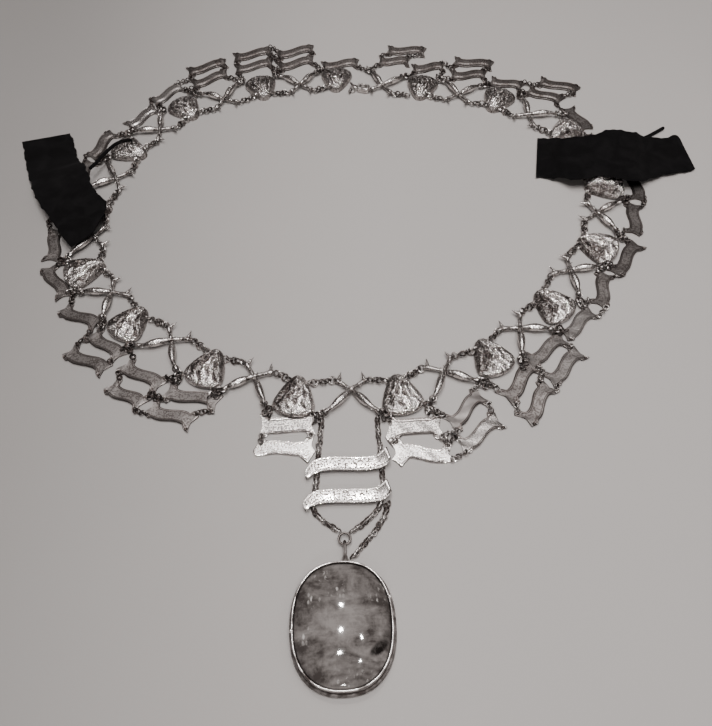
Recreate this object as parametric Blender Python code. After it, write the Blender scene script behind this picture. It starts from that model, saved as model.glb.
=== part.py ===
"""Chain of office: a closed silver neck chain with a centre drop, a stone pendant and two velvet ribbons.

The chain lies flat, as it does when it is laid out on a table. Lengths are in millimetres until they
become mesh points, where MM turns them into metres. +Z is up, and the wearer's head goes through the
loop along Z. Every link is shaped in its own frame: x runs along the chain, counter-clockwise seen from
above, y points to the inside of the loop, and z is up.
"""

import math
from collections import namedtuple

import bmesh
import bpy
import numpy as np
from mathutils import Matrix, Vector

MM = 0.001
GAP = 0.3                      # clearance between pieces that touch on the real chain

# The loop: half an ellipse in front, nearly pointed, and a fuller half behind
LOOP_HALF_WIDTH = 177.0
LOOP_FRONT_DEPTH = 148.0
LOOP_BACK_DEPTH = 138.5
FRONT_POWER = 1.63             # below 2 the front narrows to a V
BACK_POWER = 2.2
LOOP_SKEW = 2.3                # degrees
LOOP_MIDDLE = (1.4, 141.4)
ROUTE_STEPS = 4000

# The links
SHELL_COUNT = 17
CLASP_AFTER = 8                # the clasp sits between this shell and the next
CLASP_SHARE = 0.155            # its extra length, as a share of one pitch
CLASP_ROOM = 13.0              # the length kept free for it beside the cross before that shell
FIRST_SHELL = 0.37             # where shell 1 sits after the front of the loop, in pitches

# A shell
SHELL_LENGTH = 24.4
SHELL_BASE = 0.8               # thickness at the rim
SHELL_TILT = 4.5               # degrees: the outer edge rests on the banners, the apex on the table
SHELL_LOBES = 5
LOBE_DEPTH = 0.7
GROOVE_AT_APEX = 0.25          # share of that depth where the grooves start
CROWN_FLATNESS = 2.4           # powers of the dome's section: flat on top, steep at the sides
CROWN_ROUNDNESS = 0.7
EDGE_BOW = 3.5                 # how far the outer edge bows out past its corners
APEX_BOW = 1.5

# A banner
BANNER_HALF_WIDTH = 4.1
BANNER_THICKNESS = 0.9
BANNER_WAVE = 1.7              # sideways swing of the S
BANNER_EAR = 2.0               # how far the horned ends stand out beyond the band
BANNER_NOTCH = 2.2             # depth of the fishtail
BANNER_FLARE = 8               # power of u that keeps ears and fishtail near the ends
BANNER_UNDER = 0.05            # its underside above the table
BANNER_CANT = 0.7              # how much higher the outer edge lies
BANNER_COLUMNS = (-1.0, -0.8, -0.35, 0.35, 0.8, 1.0)
RING_WIRE = 0.7                # radius of the ring bars that join banners
RING_HEIGHT = 1.03             # of their middles above the table
RING_AT = 0.92                 # where along a banner its rings sit, and how far off its middle line
RING_SIDE_BY_SIDE = 0.4
RING_ROW_TO_ROW = 0.7
HANGER_FOOT = (15.6, -13.0, 1.0)   # on the cross's frame, clear of its outer rings

# The centre drop
CHAIN_RADIUS = 1.25
SCROLL_THICKNESS = 0.9
SCROLL_LIFT = 3.1              # the scrolls lie on the chains

# The pendant
PENDANT_MIDDLE = (-6.5, -119.3)
PENDANT_HALF_WIDTH = 24.6
PENDANT_HALF_HEIGHT = 29.6
PENDANT_POWER = 2.35           # a rounded oblong rather than an ellipse
PENDANT_SIDES = 36
RIM_HEIGHT = 9.0
RIM_INNER = 2.7                # the rim's inner wall, in from the outline
SEAT_HEIGHT = 2.0              # of the floor under the stone
STONE_TOP = 12.4
GIRDLE_TOP = 7.4               # below this the stone's sides are straight
STONE_BEVEL = 0.4
DOME_ANGLES = (22.0, 42.0, 60.0, 76.0)
BAIL_MIDDLE = (-4.6, -78.6, 2.6)
BAIL_RADIUS = 2.9
BAIL_WIRE = 0.6
LOOP_RADIUS = 1.9              # of the loop on the pendant's head
LOOP_WIRE = 0.5
LOOP_SUNK = 0.4                # how far it runs into the rim, and past the bail's wire

# The velvet
VELVET = 1.5                   # thickness of a ribbon
TIE_RADIUS = 1.2

LinkLay = namedtuple("LinkLay", "slide drift turn")
SHELL_LAY = {                  # how each shell lies off its even place: mm forward, mm outward, degrees
    1: LinkLay(0.8, -1.9, 0), 2: LinkLay(1.0, 0.0, -6), 3: LinkLay(-1.8, -2.0, -8),
    4: LinkLay(-1.1, -0.6, -6), 5: LinkLay(-1.0, 0.0, 0), 6: LinkLay(-1.0, 1.3, 0),
    7: LinkLay(0.5, -1.2, 0), 8: LinkLay(1.7, -7.3, 0), 9: LinkLay(0.9, 1.0, 0),
    10: LinkLay(-0.3, 2.3, 0), 11: LinkLay(0.4, 4.0, 0), 12: LinkLay(-1.3, -2.3, 0),
    13: LinkLay(2.1, -5.0, 0), 14: LinkLay(2.0, 2.0, 4), 15: LinkLay(-1.0, 0.9, 8),
    16: LinkLay(1.2, -1.1, 5), 17: LinkLay(-1.9, -1.0, 2),
}

USUAL_SEAT = 1.2               # how far inside its place in the chain a shell itself sits
SHELL_SEAT = {                 # the same for the shells that sit otherwise
    2: 2.2, 3: 2.5, 4: 2.6, 8: -1.6, 9: -2.0, 10: -1.6, 11: -0.8, 17: 1.8,
}

CROSS_LAY = {                  # the same for the crosses that lie off the middle between their shells
    4: LinkLay(1.0, -2.6, 0), 5: LinkLay(1.2, -0.5, 0), 7: LinkLay(1.0, 2.5, 0),
    8: LinkLay(0.0, 2.8, 0), 9: LinkLay(2.2, 3.3, -6), 10: LinkLay(-1.0, 3.4, 0),
    11: LinkLay(0.4, 3.4, 0), 12: LinkLay(0.0, 2.2, 0),
    17: LinkLay(0.34, -0.3, 0),
}

ShellSection = namedtuple("ShellSection", "share half_width rise")
SHELL_SECTIONS = (             # from the apex to the outer edge, by share of the length
    ShellSection(0.00, 3.0, 2.6),
    ShellSection(0.12, 5.7, 4.4),
    ShellSection(0.36, 9.1, 6.0),
    ShellSection(0.62, 10.6, 5.9),
    ShellSection(0.84, 9.8, 4.2),
    ShellSection(1.00, 7.9, 2.0),
)

TwigSection = namedtuple("TwigSection", "x y z radius end_share")
TWIG = (                       # x slides outward with the link's half span, by end_share
    TwigSection(18.9, 12.0, 1.7, 1.3, 1),
    TwigSection(14.6, 12.6, 1.8, 1.6, 1),
    TwigSection(10.6, 12.3, 2.2, 1.1, 0.5),
    TwigSection(7.0, 11.0, 2.8, 1.5, 0),
    TwigSection(-0.4, 4.8, 3.4, 1.1, 0),
    TwigSection(-3.4, 1.7, 4.0, 2.0, 0),
    TwigSection(-6.6, -1.6, 4.2, 2.4, 0),
    TwigSection(-10.0, -5.0, 4.1, 1.8, 0),
    TwigSection(-15.2, -8.9, 3.6, 1.5, 1),
    TwigSection(-16.6, -10.0, 3.6, 1.3, 1),
)
CROSS_HALF_SPAN = 29.0         # the half span for which the twig table holds
CROSSING_LIFT = 0.5            # one twig passes over the other by twice this
CROSSING_REACH = 4.0           # and bends over this length
TWIG_THORN = 3                 # the row of TWIG from which the thorn grows
THORN = ((7.4, 11.2, 2.8), (5.9, 15.4, 3.2))
THORN_RADII = (1.1, 0.2)

# The clasp, on the frame of the cross it closes
CLASP_SPOT = (14.0, 11.2)
CLASP_LENGTH = 9.6
CLASP_WIDTH = 6.8
CLASP_FOOT = 0.1
CLASP_TOP = 4.1
CLASP_CORNER = 1.8
CLASP_BEVEL = 0.8
CLASP_STRING = 4.4             # rings between it and the shell
CLASP_STRING_Z = 2.1
CLASP_STRING_RADIUS = 1.4

Banner = namedtuple("Banner", "link tier along out turn length")
BANNERS = (                    # place on the link's frame: mm forward, mm outward, degrees, mm long
    Banner("shell_17", 1, -0.6, 15.4, 10, 31), Banner("shell_17", 2, 1.7, 28.2, 12, 30.6),
    Banner("shell_01", 1, 2.1, 18.7, -13, 31), Banner("shell_01", 2, 2.6, 34.2, -14, 32),
    Banner("cross_02", 1, 0.0, 20.4, 15, 28), Banner("cross_02", 2, 0.0, 36.2, 7, 29),
    Banner("shell_02", 1, 4.4, 18.0, 14, 31), Banner("shell_02", 2, 3.6, 34.2, 17, 29),
    Banner("cross_03", 1, 1.0, 14.6, -11, 29), Banner("cross_03", 2, 0.0, 29.0, -2, 30),
    Banner("shell_03", 1, 0.0, 15.2, -11, 28),
    Banner("cross_04", 1, 1.0, 14.8, 12, 28),
    Banner("shell_04", 1, -0.7, 15.4, -17, 33),
    Banner("cross_05", 1, 3.2, 18.7, -5, 29),
    Banner("shell_05", 1, 1.0, 19.4, -12, 30),
    Banner("cross_06", 1, 0.0, 18.0, 0, 28),
    Banner("shell_06", 1, 7.4, 17.2, -16, 28),
    Banner("cross_07", 1, 5.6, 26.0, 6, 29), Banner("cross_07", 2, 3.6, 42.6, 12, 32),
    Banner("shell_07", 1, 1.1, 20.8, 4, 27),
    Banner("cross_08", 1, -3.0, 25.0, 9, 29), Banner("cross_08", 2, -4.2, 40.6, -2, 32),
    Banner("shell_08", 1, -1.2, 27.6, 12, 27),
    Banner("cross_09", 1, -1.0, 32.0, 2, 26), Banner("cross_09", 2, -8.6, 46.8, 0, 32),
    Banner("shell_09", 1, -2.0, 21.8, 4, 31),
    Banner("cross_10", 1, 0.0, 28.2, 6, 31), Banner("cross_10", 2, -0.9, 43.6, 3, 32),
    Banner("shell_10", 1, 0.3, 30.8, -4, 32), Banner("shell_10", 2, -1.8, 46.4, -4, 33),
    Banner("cross_11", 1, 3.3, 28.8, 1, 31), Banner("cross_11", 2, 1.2, 44.6, -4, 33),
    Banner("shell_11", 1, 2.2, 25.6, 4, 29),
    Banner("cross_12", 1, -2.2, 20.0, -7, 29),
    Banner("shell_12", 1, 3.3, 21.2, 0, 31),
    Banner("cross_13", 1, 0.0, 20.0, 0, 28),
    Banner("shell_13", 1, 0.0, 21.0, 0, 29),
    Banner("cross_14", 1, 1.6, 20.4, -8, 28.6),
    Banner("shell_14", 1, 0.2, 16.4, 6, 31),
    Banner("cross_15", 1, 2.0, 17.8, 16, 29),
    Banner("shell_15", 1, 0.5, 16.8, -6, 28), Banner("shell_15", 2, 0.3, 30.8, 7, 30),
    Banner("cross_16", 1, 0.3, 21.0, -5, 30), Banner("cross_16", 2, 1.4, 35.8, -6, 26),
    Banner("shell_16", 1, 1.8, 17.0, 8, 33), Banner("shell_16", 2, -2.1, 32.0, 1, 29),
)
Hanger = namedtuple("Hanger", "banner end cross side")
HANGERS = (                    # strings of rings, with the banner's end and the cross's side as signs of x
    Hanger("cross_09", 1, "cross_09", 1), Hanger("cross_09", -1, "cross_09", -1),
    Hanger("cross_10", 1, "cross_10", 1), Hanger("cross_10", -1, "cross_10", -1),
    Hanger("shell_10", 1, "cross_11", -1),
)
BANNER_GROUPS = (              # neighbours whose rings are closed for good, one solid each
    ("shell_17",), ("shell_01", "cross_02"), ("shell_02", "cross_03"),
    ("shell_03", "cross_04", "shell_04"), ("cross_05", "shell_05", "cross_06"),
    ("shell_06", "cross_07", "shell_07"), ("cross_08", "shell_08"), ("cross_09", "shell_09"),
    ("cross_10", "shell_10"), ("cross_11", "shell_11", "cross_12"),
    ("shell_12", "cross_13", "shell_13", "cross_14"), ("shell_14", "cross_15", "shell_15"),
    ("cross_16", "shell_16"),
)

ScrollSection = namedtuple("ScrollSection", "x y half_width curl")
SCROLL_UPPER = (               # the middle line from the left tail to the right one
    ScrollSection(-23.6, -46.6, 0.9, -0.4), ScrollSection(-21.6, -43.2, 2.4, 0.0),
    ScrollSection(-17.5, -40.0, 3.7, 0.3), ScrollSection(-10.0, -39.0, 3.9, 0.4),
    ScrollSection(0.0, -39.3, 4.0, 0.0), ScrollSection(9.0, -39.6, 4.0, 0.3),
    ScrollSection(15.0, -38.6, 3.9, 0.9), ScrollSection(19.6, -35.0, 3.3, 2.2),
)
SCROLL_LOWER = (
    ScrollSection(-23.4, -63.8, 0.9, -0.4), ScrollSection(-22.6, -60.4, 2.6, 0.0),
    ScrollSection(-18.0, -57.4, 3.7, 0.3), ScrollSection(-10.0, -56.8, 3.7, 0.4),
    ScrollSection(0.0, -57.0, 3.8, 0.0), ScrollSection(9.0, -57.2, 3.8, 0.3),
    ScrollSection(14.6, -56.2, 3.8, 0.9), ScrollSection(18.8, -52.8, 3.2, 2.2),
)

BezelStep = namedtuple("BezelStep", "inset z")
BEZEL_PROFILE = (              # up the outside, over the rim and down to the stone's seat
    BezelStep(0.8, 0.0), BezelStep(0.0, 0.6), BezelStep(0.0, 2.0), BezelStep(1.5, 2.6),
    BezelStep(1.5, RIM_HEIGHT - 0.4), BezelStep(1.8, RIM_HEIGHT), BezelStep(2.4, RIM_HEIGHT),
    BezelStep(RIM_INNER, RIM_HEIGHT - 0.4), BezelStep(RIM_INNER, SEAT_HEIGHT),
)

DROP_CHAINS = {                # route points of the fine chains, x y z
    "drop_chain_left": ((-15.4, -12.6, 1.6), (-16.6, -24.0, 1.4), (-17.6, -35.0, 1.4),
                        (-18.3, -46.0, 1.4), (-19.2, -55.0, 1.4), (-19.6, -63.0, 1.4),
                        (-14.0, -69.5, 1.6), (-7.9, -74.0, 1.9)),
    "drop_chain_right": ((14.8, -12.0, 1.6), (15.0, -24.0, 1.4), (15.4, -35.0, 1.4),
                         (15.8, -46.0, 1.4), (15.2, -55.0, 1.4), (13.4, -62.0, 1.4),
                         (6.6, -69.4, 1.6), (-0.6, -74.8, 1.9)),
    "drop_chain_spare": ((17.6, -61.0, 1.4), (15.4, -68.0, 1.4), (10.4, -75.0, 1.4),
                         (4.6, -82.2, 1.4), (1.4, -86.6, 1.5)),
}

RibbonSection = namedtuple("RibbonSection", "outer_x outer_y outer_rise inner_x inner_y inner_rise")
RIBBON_LEFT = (                # the two edges, and how far the underside is above the table at each
    RibbonSection(-231.3, 225.5, 0.2, -197.9, 232.8, 0.2),
    RibbonSection(-228.0, 215.5, 0.2, -193.5, 223.2, 0.2),
    RibbonSection(-224.7, 205.3, 0.3, -189.0, 210.4, 0.5),
    RibbonSection(-221.0, 195.5, 0.9, -184.1, 198.9, 3.2),
    RibbonSection(-217.4, 186.1, 1.8, -178.6, 192.6, 6.6),
    RibbonSection(-213.0, 177.0, 3.8, -174.6, 184.3, 8.2),
    RibbonSection(-208.7, 167.5, 6.2, -170.6, 175.0, 8.8),
    RibbonSection(-200.9, 153.8, 8.6, -166.5, 165.1, 9.0),
    RibbonSection(-193.9, 143.8, 9.2, -159.6, 156.6, 8.8),
    RibbonSection(-188.1, 135.8, 9.0, -154.8, 148.4, 8.4),
    RibbonSection(-181.7, 126.0, 8.4, -157.4, 134.4, 8.0),
    RibbonSection(-177.0, 119.5, 7.8, -160.7, 126.1, 7.6),
    RibbonSection(-172.1, 114.3, 7.2, -166.1, 119.5, 7.2),
)
RIBBON_RIGHT = (
    RibbonSection(132.0, 167.9, 0.2, 139.8, 206.9, 0.2),
    RibbonSection(140.6, 165.8, 0.6, 147.0, 202.3, 4.0),
    RibbonSection(147.4, 161.0, 4.6, 152.5, 197.6, 7.6),
    RibbonSection(155.8, 154.6, 8.6, 162.7, 196.9, 8.8),
    RibbonSection(168.6, 156.6, 9.2, 174.1, 197.6, 9.0),
    RibbonSection(179.0, 155.0, 9.2, 188.0, 203.0, 9.0),
    RibbonSection(187.0, 152.4, 8.8, 197.0, 201.8, 8.6),
    RibbonSection(196.9, 152.5, 6.8, 205.7, 201.3, 6.8),
    RibbonSection(205.5, 157.5, 4.0, 212.6, 200.9, 3.4),
    RibbonSection(214.0, 162.0, 2.0, 224.3, 201.6, 1.2),
    RibbonSection(224.0, 165.0, 1.2, 230.4, 201.4, 0.6),
    RibbonSection(233.4, 166.8, 0.2, 236.0, 203.0, 2.4),
    RibbonSection(241.4, 169.4, 0.2, 239.4, 198.6, 0.6),
)
RIBBON_ACROSS = 4

TIES = {                       # route points of the thin ties, x y z
    "ribbon_tie_left": ((-172.4, 184.9, 9.4), (-169.4, 190.4, 9.2), (-166.3, 198.0, 8.8),
                        (-162.4, 203.8, 9.2), (-158.6, 208.1, 9.8), (-153.8, 211.2, 9.9),
                        (-147.2, 212.2, 9.8)),
    "ribbon_tie_right": ((199.6, 196.4, 1.4), (206.0, 199.4, 1.4), (212.2, 201.6, 1.4),
                         (217.6, 204.2, 1.4), (223.6, 207.8, 1.4), (231.0, 212.4, 1.4)),
}


# ---------------------------------------------------------------- materials and meshes

def make_material(name, colour, roughness, metallic):
    material = bpy.data.materials.new(name)
    material.use_nodes = True
    shader = material.node_tree.nodes["Principled BSDF"]
    shader.inputs["Base Color"].default_value = (*colour, 1.0)
    shader.inputs["Roughness"].default_value = roughness
    shader.inputs["Metallic"].default_value = metallic
    material.diffuse_color = (*colour, 1.0)
    return material


def solid_mesh(name, points, faces):
    """Mesh of a closed skin, points in millimetres, with its doubles merged and its faces turned out."""
    mesh = bpy.data.meshes.new(name)
    mesh.from_pydata((np.asarray(points, dtype=float) * MM).tolist(), [], faces)
    work = bmesh.new()
    work.from_mesh(mesh)
    bmesh.ops.remove_doubles(work, verts=work.verts, dist=0.00001)
    bmesh.ops.recalc_face_normals(work, faces=work.faces)
    work.to_mesh(mesh)
    work.free()
    return mesh


def mesh_from_rings(name, rings, caps=True):
    """Skin a stack of equal closed rings of points, and cap its two ends."""
    rings = np.asarray(rings, dtype=float)
    count, around, _ = rings.shape
    faces = []
    for ring in range(count - 1):
        low, high = ring * around, (ring + 1) * around
        for side in range(around):
            following = (side + 1) % around
            faces.append((low + side, low + following, high + following, high + side))
    if caps:
        faces.append(tuple(reversed(range(around))))
        faces.append(tuple(range((count - 1) * around, count * around)))
    return solid_mesh(name, rings.reshape(-1, 3), faces)


def plate_mesh(name, top, thickness):
    """A closed plate under a grid of top points: each row of points becomes a ring of the skin."""
    top = np.asarray(top, dtype=float)
    bottom = top - np.array((0.0, 0.0, thickness))
    rings = np.concatenate([top, bottom[:, ::-1]], axis=1)
    return mesh_from_rings(name, rings)


def strip_quads(name, top, thickness):
    """Like plate_mesh, but faces and ends are made of quads, for plates wider than one strip."""
    top = np.asarray(top, dtype=float)
    rows, across, _ = top.shape
    bottom = top - np.array((0.0, 0.0, thickness))
    points = np.concatenate([top.reshape(-1, 3), bottom.reshape(-1, 3)])
    under = rows * across
    faces = []
    for row in range(rows - 1):
        for column in range(across - 1):
            first = row * across + column
            faces.append((first, first + across, first + across + 1, first + 1))
            low = under + first
            faces.append((low, low + 1, low + across + 1, low + across))
    border = [column for column in range(across)]
    border += [row * across + across - 1 for row in range(1, rows)]
    border += [(rows - 1) * across + column for column in range(across - 2, -1, -1)]
    border += [row * across for row in range(rows - 2, 0, -1)]
    for here, there in zip(border, border[1:] + border[:1]):
        faces.append((here, there, under + there, under + here))
    return solid_mesh(name, points, faces)


def tube_mesh(name, points, radii, sides):
    """A closed tube of the given radii along a curve object's polyline."""
    curve = bpy.data.curves.new(name, "CURVE")
    curve.dimensions = "3D"
    curve.bevel_depth = MM
    curve.bevel_resolution = sides // 2 - 2
    curve.use_fill_caps = True
    spline = curve.splines.new("POLY")
    spline.points.add(len(points) - 1)
    for spot, point, radius in zip(spline.points, points, radii):
        spot.co = (*(MM * value for value in point), 1.0)
        spot.radius = radius
    carrier = bpy.data.objects.new(name, curve)
    bpy.context.collection.objects.link(carrier)
    mesh = evaluated_mesh(carrier)
    bpy.data.objects.remove(carrier)
    return mesh


def evaluated_mesh(piece):
    graph = bpy.context.evaluated_depsgraph_get()
    graph.update()
    return bpy.data.meshes.new_from_object(piece.evaluated_get(graph), depsgraph=graph)


def joined_mesh(name, meshes):
    """The exact union of closed meshes that overlap."""
    base = bpy.data.objects.new(name, meshes[0])
    bpy.context.collection.objects.link(base)
    others = []
    for mesh in meshes[1:]:
        other = bpy.data.objects.new(name + "_part", mesh)
        bpy.context.collection.objects.link(other)
        others.append(other)
        union = base.modifiers.new("union", "BOOLEAN")
        union.operation = "UNION"
        union.object = other
    mesh = evaluated_mesh(base)
    for piece in [base, *others]:
        bpy.data.objects.remove(piece)
    mesh.name = name
    return mesh


def moved_mesh(mesh, matrix):
    copy = mesh.copy()
    copy.transform(matrix)
    return copy


def add_piece(name, mesh, material, matrix=None, smooth_angle=None):
    mesh.materials.clear()
    mesh.materials.append(material)
    if smooth_angle is not None:
        mesh.shade_smooth()
        mesh.set_sharp_from_angle(angle=math.radians(smooth_angle))
    piece = bpy.data.objects.new(name, mesh)
    bpy.context.collection.objects.link(piece)
    if matrix is not None:
        piece.matrix_world = matrix
    return piece


# ---------------------------------------------------------------- the loop

def neck_route():
    """Points round the loop from the front, counter-clockwise, and the length run at each."""
    turn = np.linspace(0.0, 2.0 * math.pi, ROUTE_STEPS + 1)
    ahead, aside = np.cos(turn), np.sin(turn)
    power = 2.0 / np.where(ahead > 0.0, FRONT_POWER, BACK_POWER)
    depth = np.where(ahead > 0.0, LOOP_FRONT_DEPTH, LOOP_BACK_DEPTH)
    across = LOOP_HALF_WIDTH * np.sign(aside) * np.abs(aside) ** power
    back = -depth * np.sign(ahead) * np.abs(ahead) ** power
    skew = math.radians(LOOP_SKEW)
    x = LOOP_MIDDLE[0] + across * math.cos(skew) - back * math.sin(skew)
    y = LOOP_MIDDLE[1] + across * math.sin(skew) + back * math.cos(skew)
    run = np.concatenate([[0.0], np.cumsum(np.hypot(np.diff(x), np.diff(y)))])
    return x, y, run


def shell_places():
    """Middle of every shell, by number: even steps round the route, then each shell's own drift."""
    x, y, run = neck_route()
    pitch = run[-1] / (SHELL_COUNT + CLASP_SHARE)
    places = {}
    for number in range(1, SHELL_COUNT + 1):
        clasp = CLASP_SHARE if number > CLASP_AFTER else 0.0
        at = pitch * (FIRST_SHELL + number - 1 + clasp)
        here = Vector((np.interp(at, run, x), np.interp(at, run, y)))
        onward = Vector((np.interp(at + 1.0, run, x), np.interp(at + 1.0, run, y)))
        forward = (onward - here).normalized()
        outward = Vector((forward.y, -forward.x))
        lay = SHELL_LAY[number]
        places[number] = here + forward * lay.slide + outward * lay.drift
    return places


def frame_matrix(place, heading, tilt=0.0):
    spot = Matrix.Translation((place[0] * MM, place[1] * MM, 0.0))
    return spot @ Matrix.Rotation(heading, 4, "Z") @ Matrix.Rotation(tilt, 4, "X")


def link_frames():
    """Frame matrix of every shell and cross, the shells' numbers and the crosses' half spans."""
    places = shell_places()
    frames, half_spans = {}, {}
    for number in range(1, SHELL_COUNT + 1):
        before = places[number - 1 or SHELL_COUNT]
        after = places[number % SHELL_COUNT + 1]
        heading = math.atan2(after.y - before.y, after.x - before.x)
        turn = math.radians(SHELL_LAY[number].turn)
        frames[f"shell_{number:02d}"] = frame_matrix(places[number], heading)
        inward = Vector((-math.sin(heading), math.cos(heading)))
        seat = places[number] + inward * SHELL_SEAT.get(number, USUAL_SEAT)
        frames[f"shell_{number:02d}_turned"] = frame_matrix(seat, heading + turn)
        span = places[number] - before
        middle = (places[number] + before) / 2.0
        half_span = span.length / 2.0
        heading = math.atan2(span.y, span.x)
        if number == CLASP_AFTER + 1:
            middle -= span.normalized() * CLASP_ROOM / 2.0
            half_span -= CLASP_ROOM / 2.0
        frames[f"cross_{number:02d}"] = frame_matrix(middle, heading)
        lay = CROSS_LAY.get(number, LinkLay(0.0, 0.0, 0.0))
        shift = Matrix.Translation((lay.slide * MM, -lay.drift * MM, 0.0))
        turn = Matrix.Rotation(math.radians(lay.turn), 4, "Z")
        frames[f"cross_{number:02d}_turned"] = frames[f"cross_{number:02d}"] @ shift @ turn
        half_spans[f"cross_{number:02d}"] = half_span
    return frames, half_spans


# ---------------------------------------------------------------- the links

def shell_mesh():
    """Domed shell lofted through SHELL_SECTIONS, with a groove between every two lobes."""
    across = np.linspace(-1.0, 1.0, 2 * SHELL_LOBES + 1)
    crown = (1.0 - np.abs(across) ** CROWN_FLATNESS) ** CROWN_ROUNDNESS
    groove = LOBE_DEPTH * (0.5 - 0.5 * np.cos(math.pi * SHELL_LOBES * across))
    top = []
    for section in SHELL_SECTIONS:
        bow = EDGE_BOW * section.share ** 3 - APEX_BOW * (1.0 - section.share) ** 4
        y = SHELL_LENGTH * (0.5 - section.share) + bow * across ** 2
        fade = min(1.0, GROOVE_AT_APEX + section.share)
        z = SHELL_BASE + section.rise * crown - groove * fade * (crown > 0.0)
        top.append(np.stack([across * section.half_width, y, z], axis=1))
    top = np.array(top)
    rows, columns, _ = top.shape
    base = top.copy()
    base[:, :, 2] = 0.0
    border = [(0, column) for column in range(columns)]
    border += [(row, columns - 1) for row in range(1, rows)]
    border += [(rows - 1, column) for column in range(columns - 2, -1, -1)]
    border += [(row, 0) for row in range(rows - 2, 0, -1)]
    points = top.reshape(-1, 3).tolist() + [base[spot].tolist() for spot in border]
    faces = []
    for row in range(rows - 1):
        for column in range(columns - 1):
            first = row * columns + column
            faces.append((first, first + columns, first + columns + 1, first + 1))
    under = rows * columns
    for step, (row, column) in enumerate(border):
        following = (step + 1) % len(border)
        next_row, next_column = border[following]
        here, there = row * columns + column, next_row * columns + next_column
        faces.append((here, there, under + following, under + step))
    faces.append(tuple(under + step for step in range(len(border))))
    return solid_mesh("shell", points, faces)


def cross_mesh(half_span, beside_clasp):
    """Two mirrored twigs, one over the other, soldered at the crossing, each with one thorn.

    Beside the clasp the twig that would meet it stops at its thorn.
    """
    stretch = half_span - CROSS_HALF_SPAN
    parts = []
    for side, lift in ((1.0, CROSSING_LIFT), (-1.0, -CROSSING_LIFT)):
        points, radii = [], []
        for spot in TWIG[TWIG_THORN if beside_clasp and side > 0.0 else 0:]:
            x = spot.x + math.copysign(stretch * spot.end_share, spot.x)
            over = lift * math.exp(-(spot.x / CROSSING_REACH) ** 2)
            points.append((side * x, spot.y, spot.z + over))
            radii.append(spot.radius)
        parts.append(tube_mesh("twig", points, radii, 6))
        thorn = [(side * x, y, z) for x, y, z in THORN]
        parts.append(tube_mesh("thorn", thorn, THORN_RADII, 6))
    return joined_mesh("cross_link", parts)


def clasp_mesh():
    """Plain box clasp with bevelled edges, and the short string of rings that joins it to the shell."""
    x, y = CLASP_SPOT
    length, width = CLASP_LENGTH / 2.0, CLASP_WIDTH / 2.0
    outline = [(length, width - CLASP_CORNER), (length - CLASP_CORNER, width),
               (CLASP_CORNER - length, width), (-length, width - CLASP_CORNER),
               (-length, CLASP_CORNER - width), (CLASP_CORNER - length, -width),
               (length - CLASP_CORNER, -width), (length, CLASP_CORNER - width)]
    rings = []
    levels = ((CLASP_BEVEL, CLASP_FOOT), (0.0, CLASP_FOOT + CLASP_BEVEL),
              (0.0, CLASP_TOP - CLASP_BEVEL), (CLASP_BEVEL, CLASP_TOP))
    for inset, z in levels:
        scale = np.array((1.0 - inset / length, 1.0 - inset / width))
        rings.append([(x + px * scale[0], y + py * scale[1], z) for px, py in outline])
    box = mesh_from_rings("clasp", rings)
    route = ((x, y, CLASP_STRING_Z), (x + length + CLASP_STRING, y - 1.0, CLASP_STRING_Z))
    string = tube_mesh("clasp_rings", route, (CLASP_STRING_RADIUS, CLASP_STRING_RADIUS), 6)
    return joined_mesh("back_clasp", [box, string])


# ---------------------------------------------------------------- the banners

def banner_point(banner, u, v):
    """A point of a banner's top face: u runs along it and v across it, each from -1 to 1."""
    end = abs(u) ** BANNER_FLARE
    x = banner.length / 2.0 * u - math.copysign(BANNER_NOTCH * (1.0 - abs(v)) * end, u)
    y = v * (BANNER_HALF_WIDTH + BANNER_EAR * end) + BANNER_WAVE * math.sin(math.pi * u)
    z = BANNER_UNDER + BANNER_THICKNESS + BANNER_CANT * (1.0 - v) / 2.0 * (1.0 - end)
    return (x, y, z)


def banner_mesh(banner):
    top = [[banner_point(banner, u, v) for v in (1.0, 0.0, -1.0)] for u in BANNER_COLUMNS]
    return strip_quads("banner", top, BANNER_THICKNESS)


def banner_matrix(banner, frames):
    shift = Matrix.Translation((banner.along * MM, -banner.out * MM, 0.0))
    return frames[banner.link] @ shift @ Matrix.Rotation(math.radians(banner.turn), 4, "Z")


def banner_spot(banner, frames, u, v):
    """World point, in millimetres, where a ring bar enters a banner."""
    x, y, _ = banner_point(banner, u, v)
    local = Vector((x, y, RING_HEIGHT)) * MM
    return banner_matrix(banner, frames) @ local / MM


def ring_bars(banners, frames):
    """Short bars that stand for the jump rings between neighbours and between the two rows."""
    bars = []
    rows = {tier: [banner for banner in banners if banner.tier == tier] for tier in (1, 2)}
    for here, there in zip(rows[1], rows[1][1:]):
        bars.append((banner_spot(here, frames, RING_AT, RING_SIDE_BY_SIDE),
                     banner_spot(there, frames, -RING_AT, RING_SIDE_BY_SIDE)))
    for outer in rows[2]:
        inner = next(banner for banner in rows[1] if banner.link == outer.link)
        for end in (-RING_AT, RING_AT):
            bars.append((banner_spot(inner, frames, end, -RING_ROW_TO_ROW),
                         banner_spot(outer, frames, end, RING_ROW_TO_ROW)))
    return bars


def hanger_bars(banners, frames):
    """Bars for the strings of rings that reach from a banner nearly to the outer rings of a cross."""
    bars = []
    for hanger in HANGERS:
        for banner in banners:
            if banner.tier == 1 and banner.link == hanger.banner:
                top = banner_spot(banner, frames, RING_AT * hanger.end, RING_SIDE_BY_SIDE)
                x, y, z = HANGER_FOOT
                foot = frames[hanger.cross + "_turned"] @ (Vector((hanger.side * x, y, z)) * MM)
                bars.append((top, foot / MM))
    return bars


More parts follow.
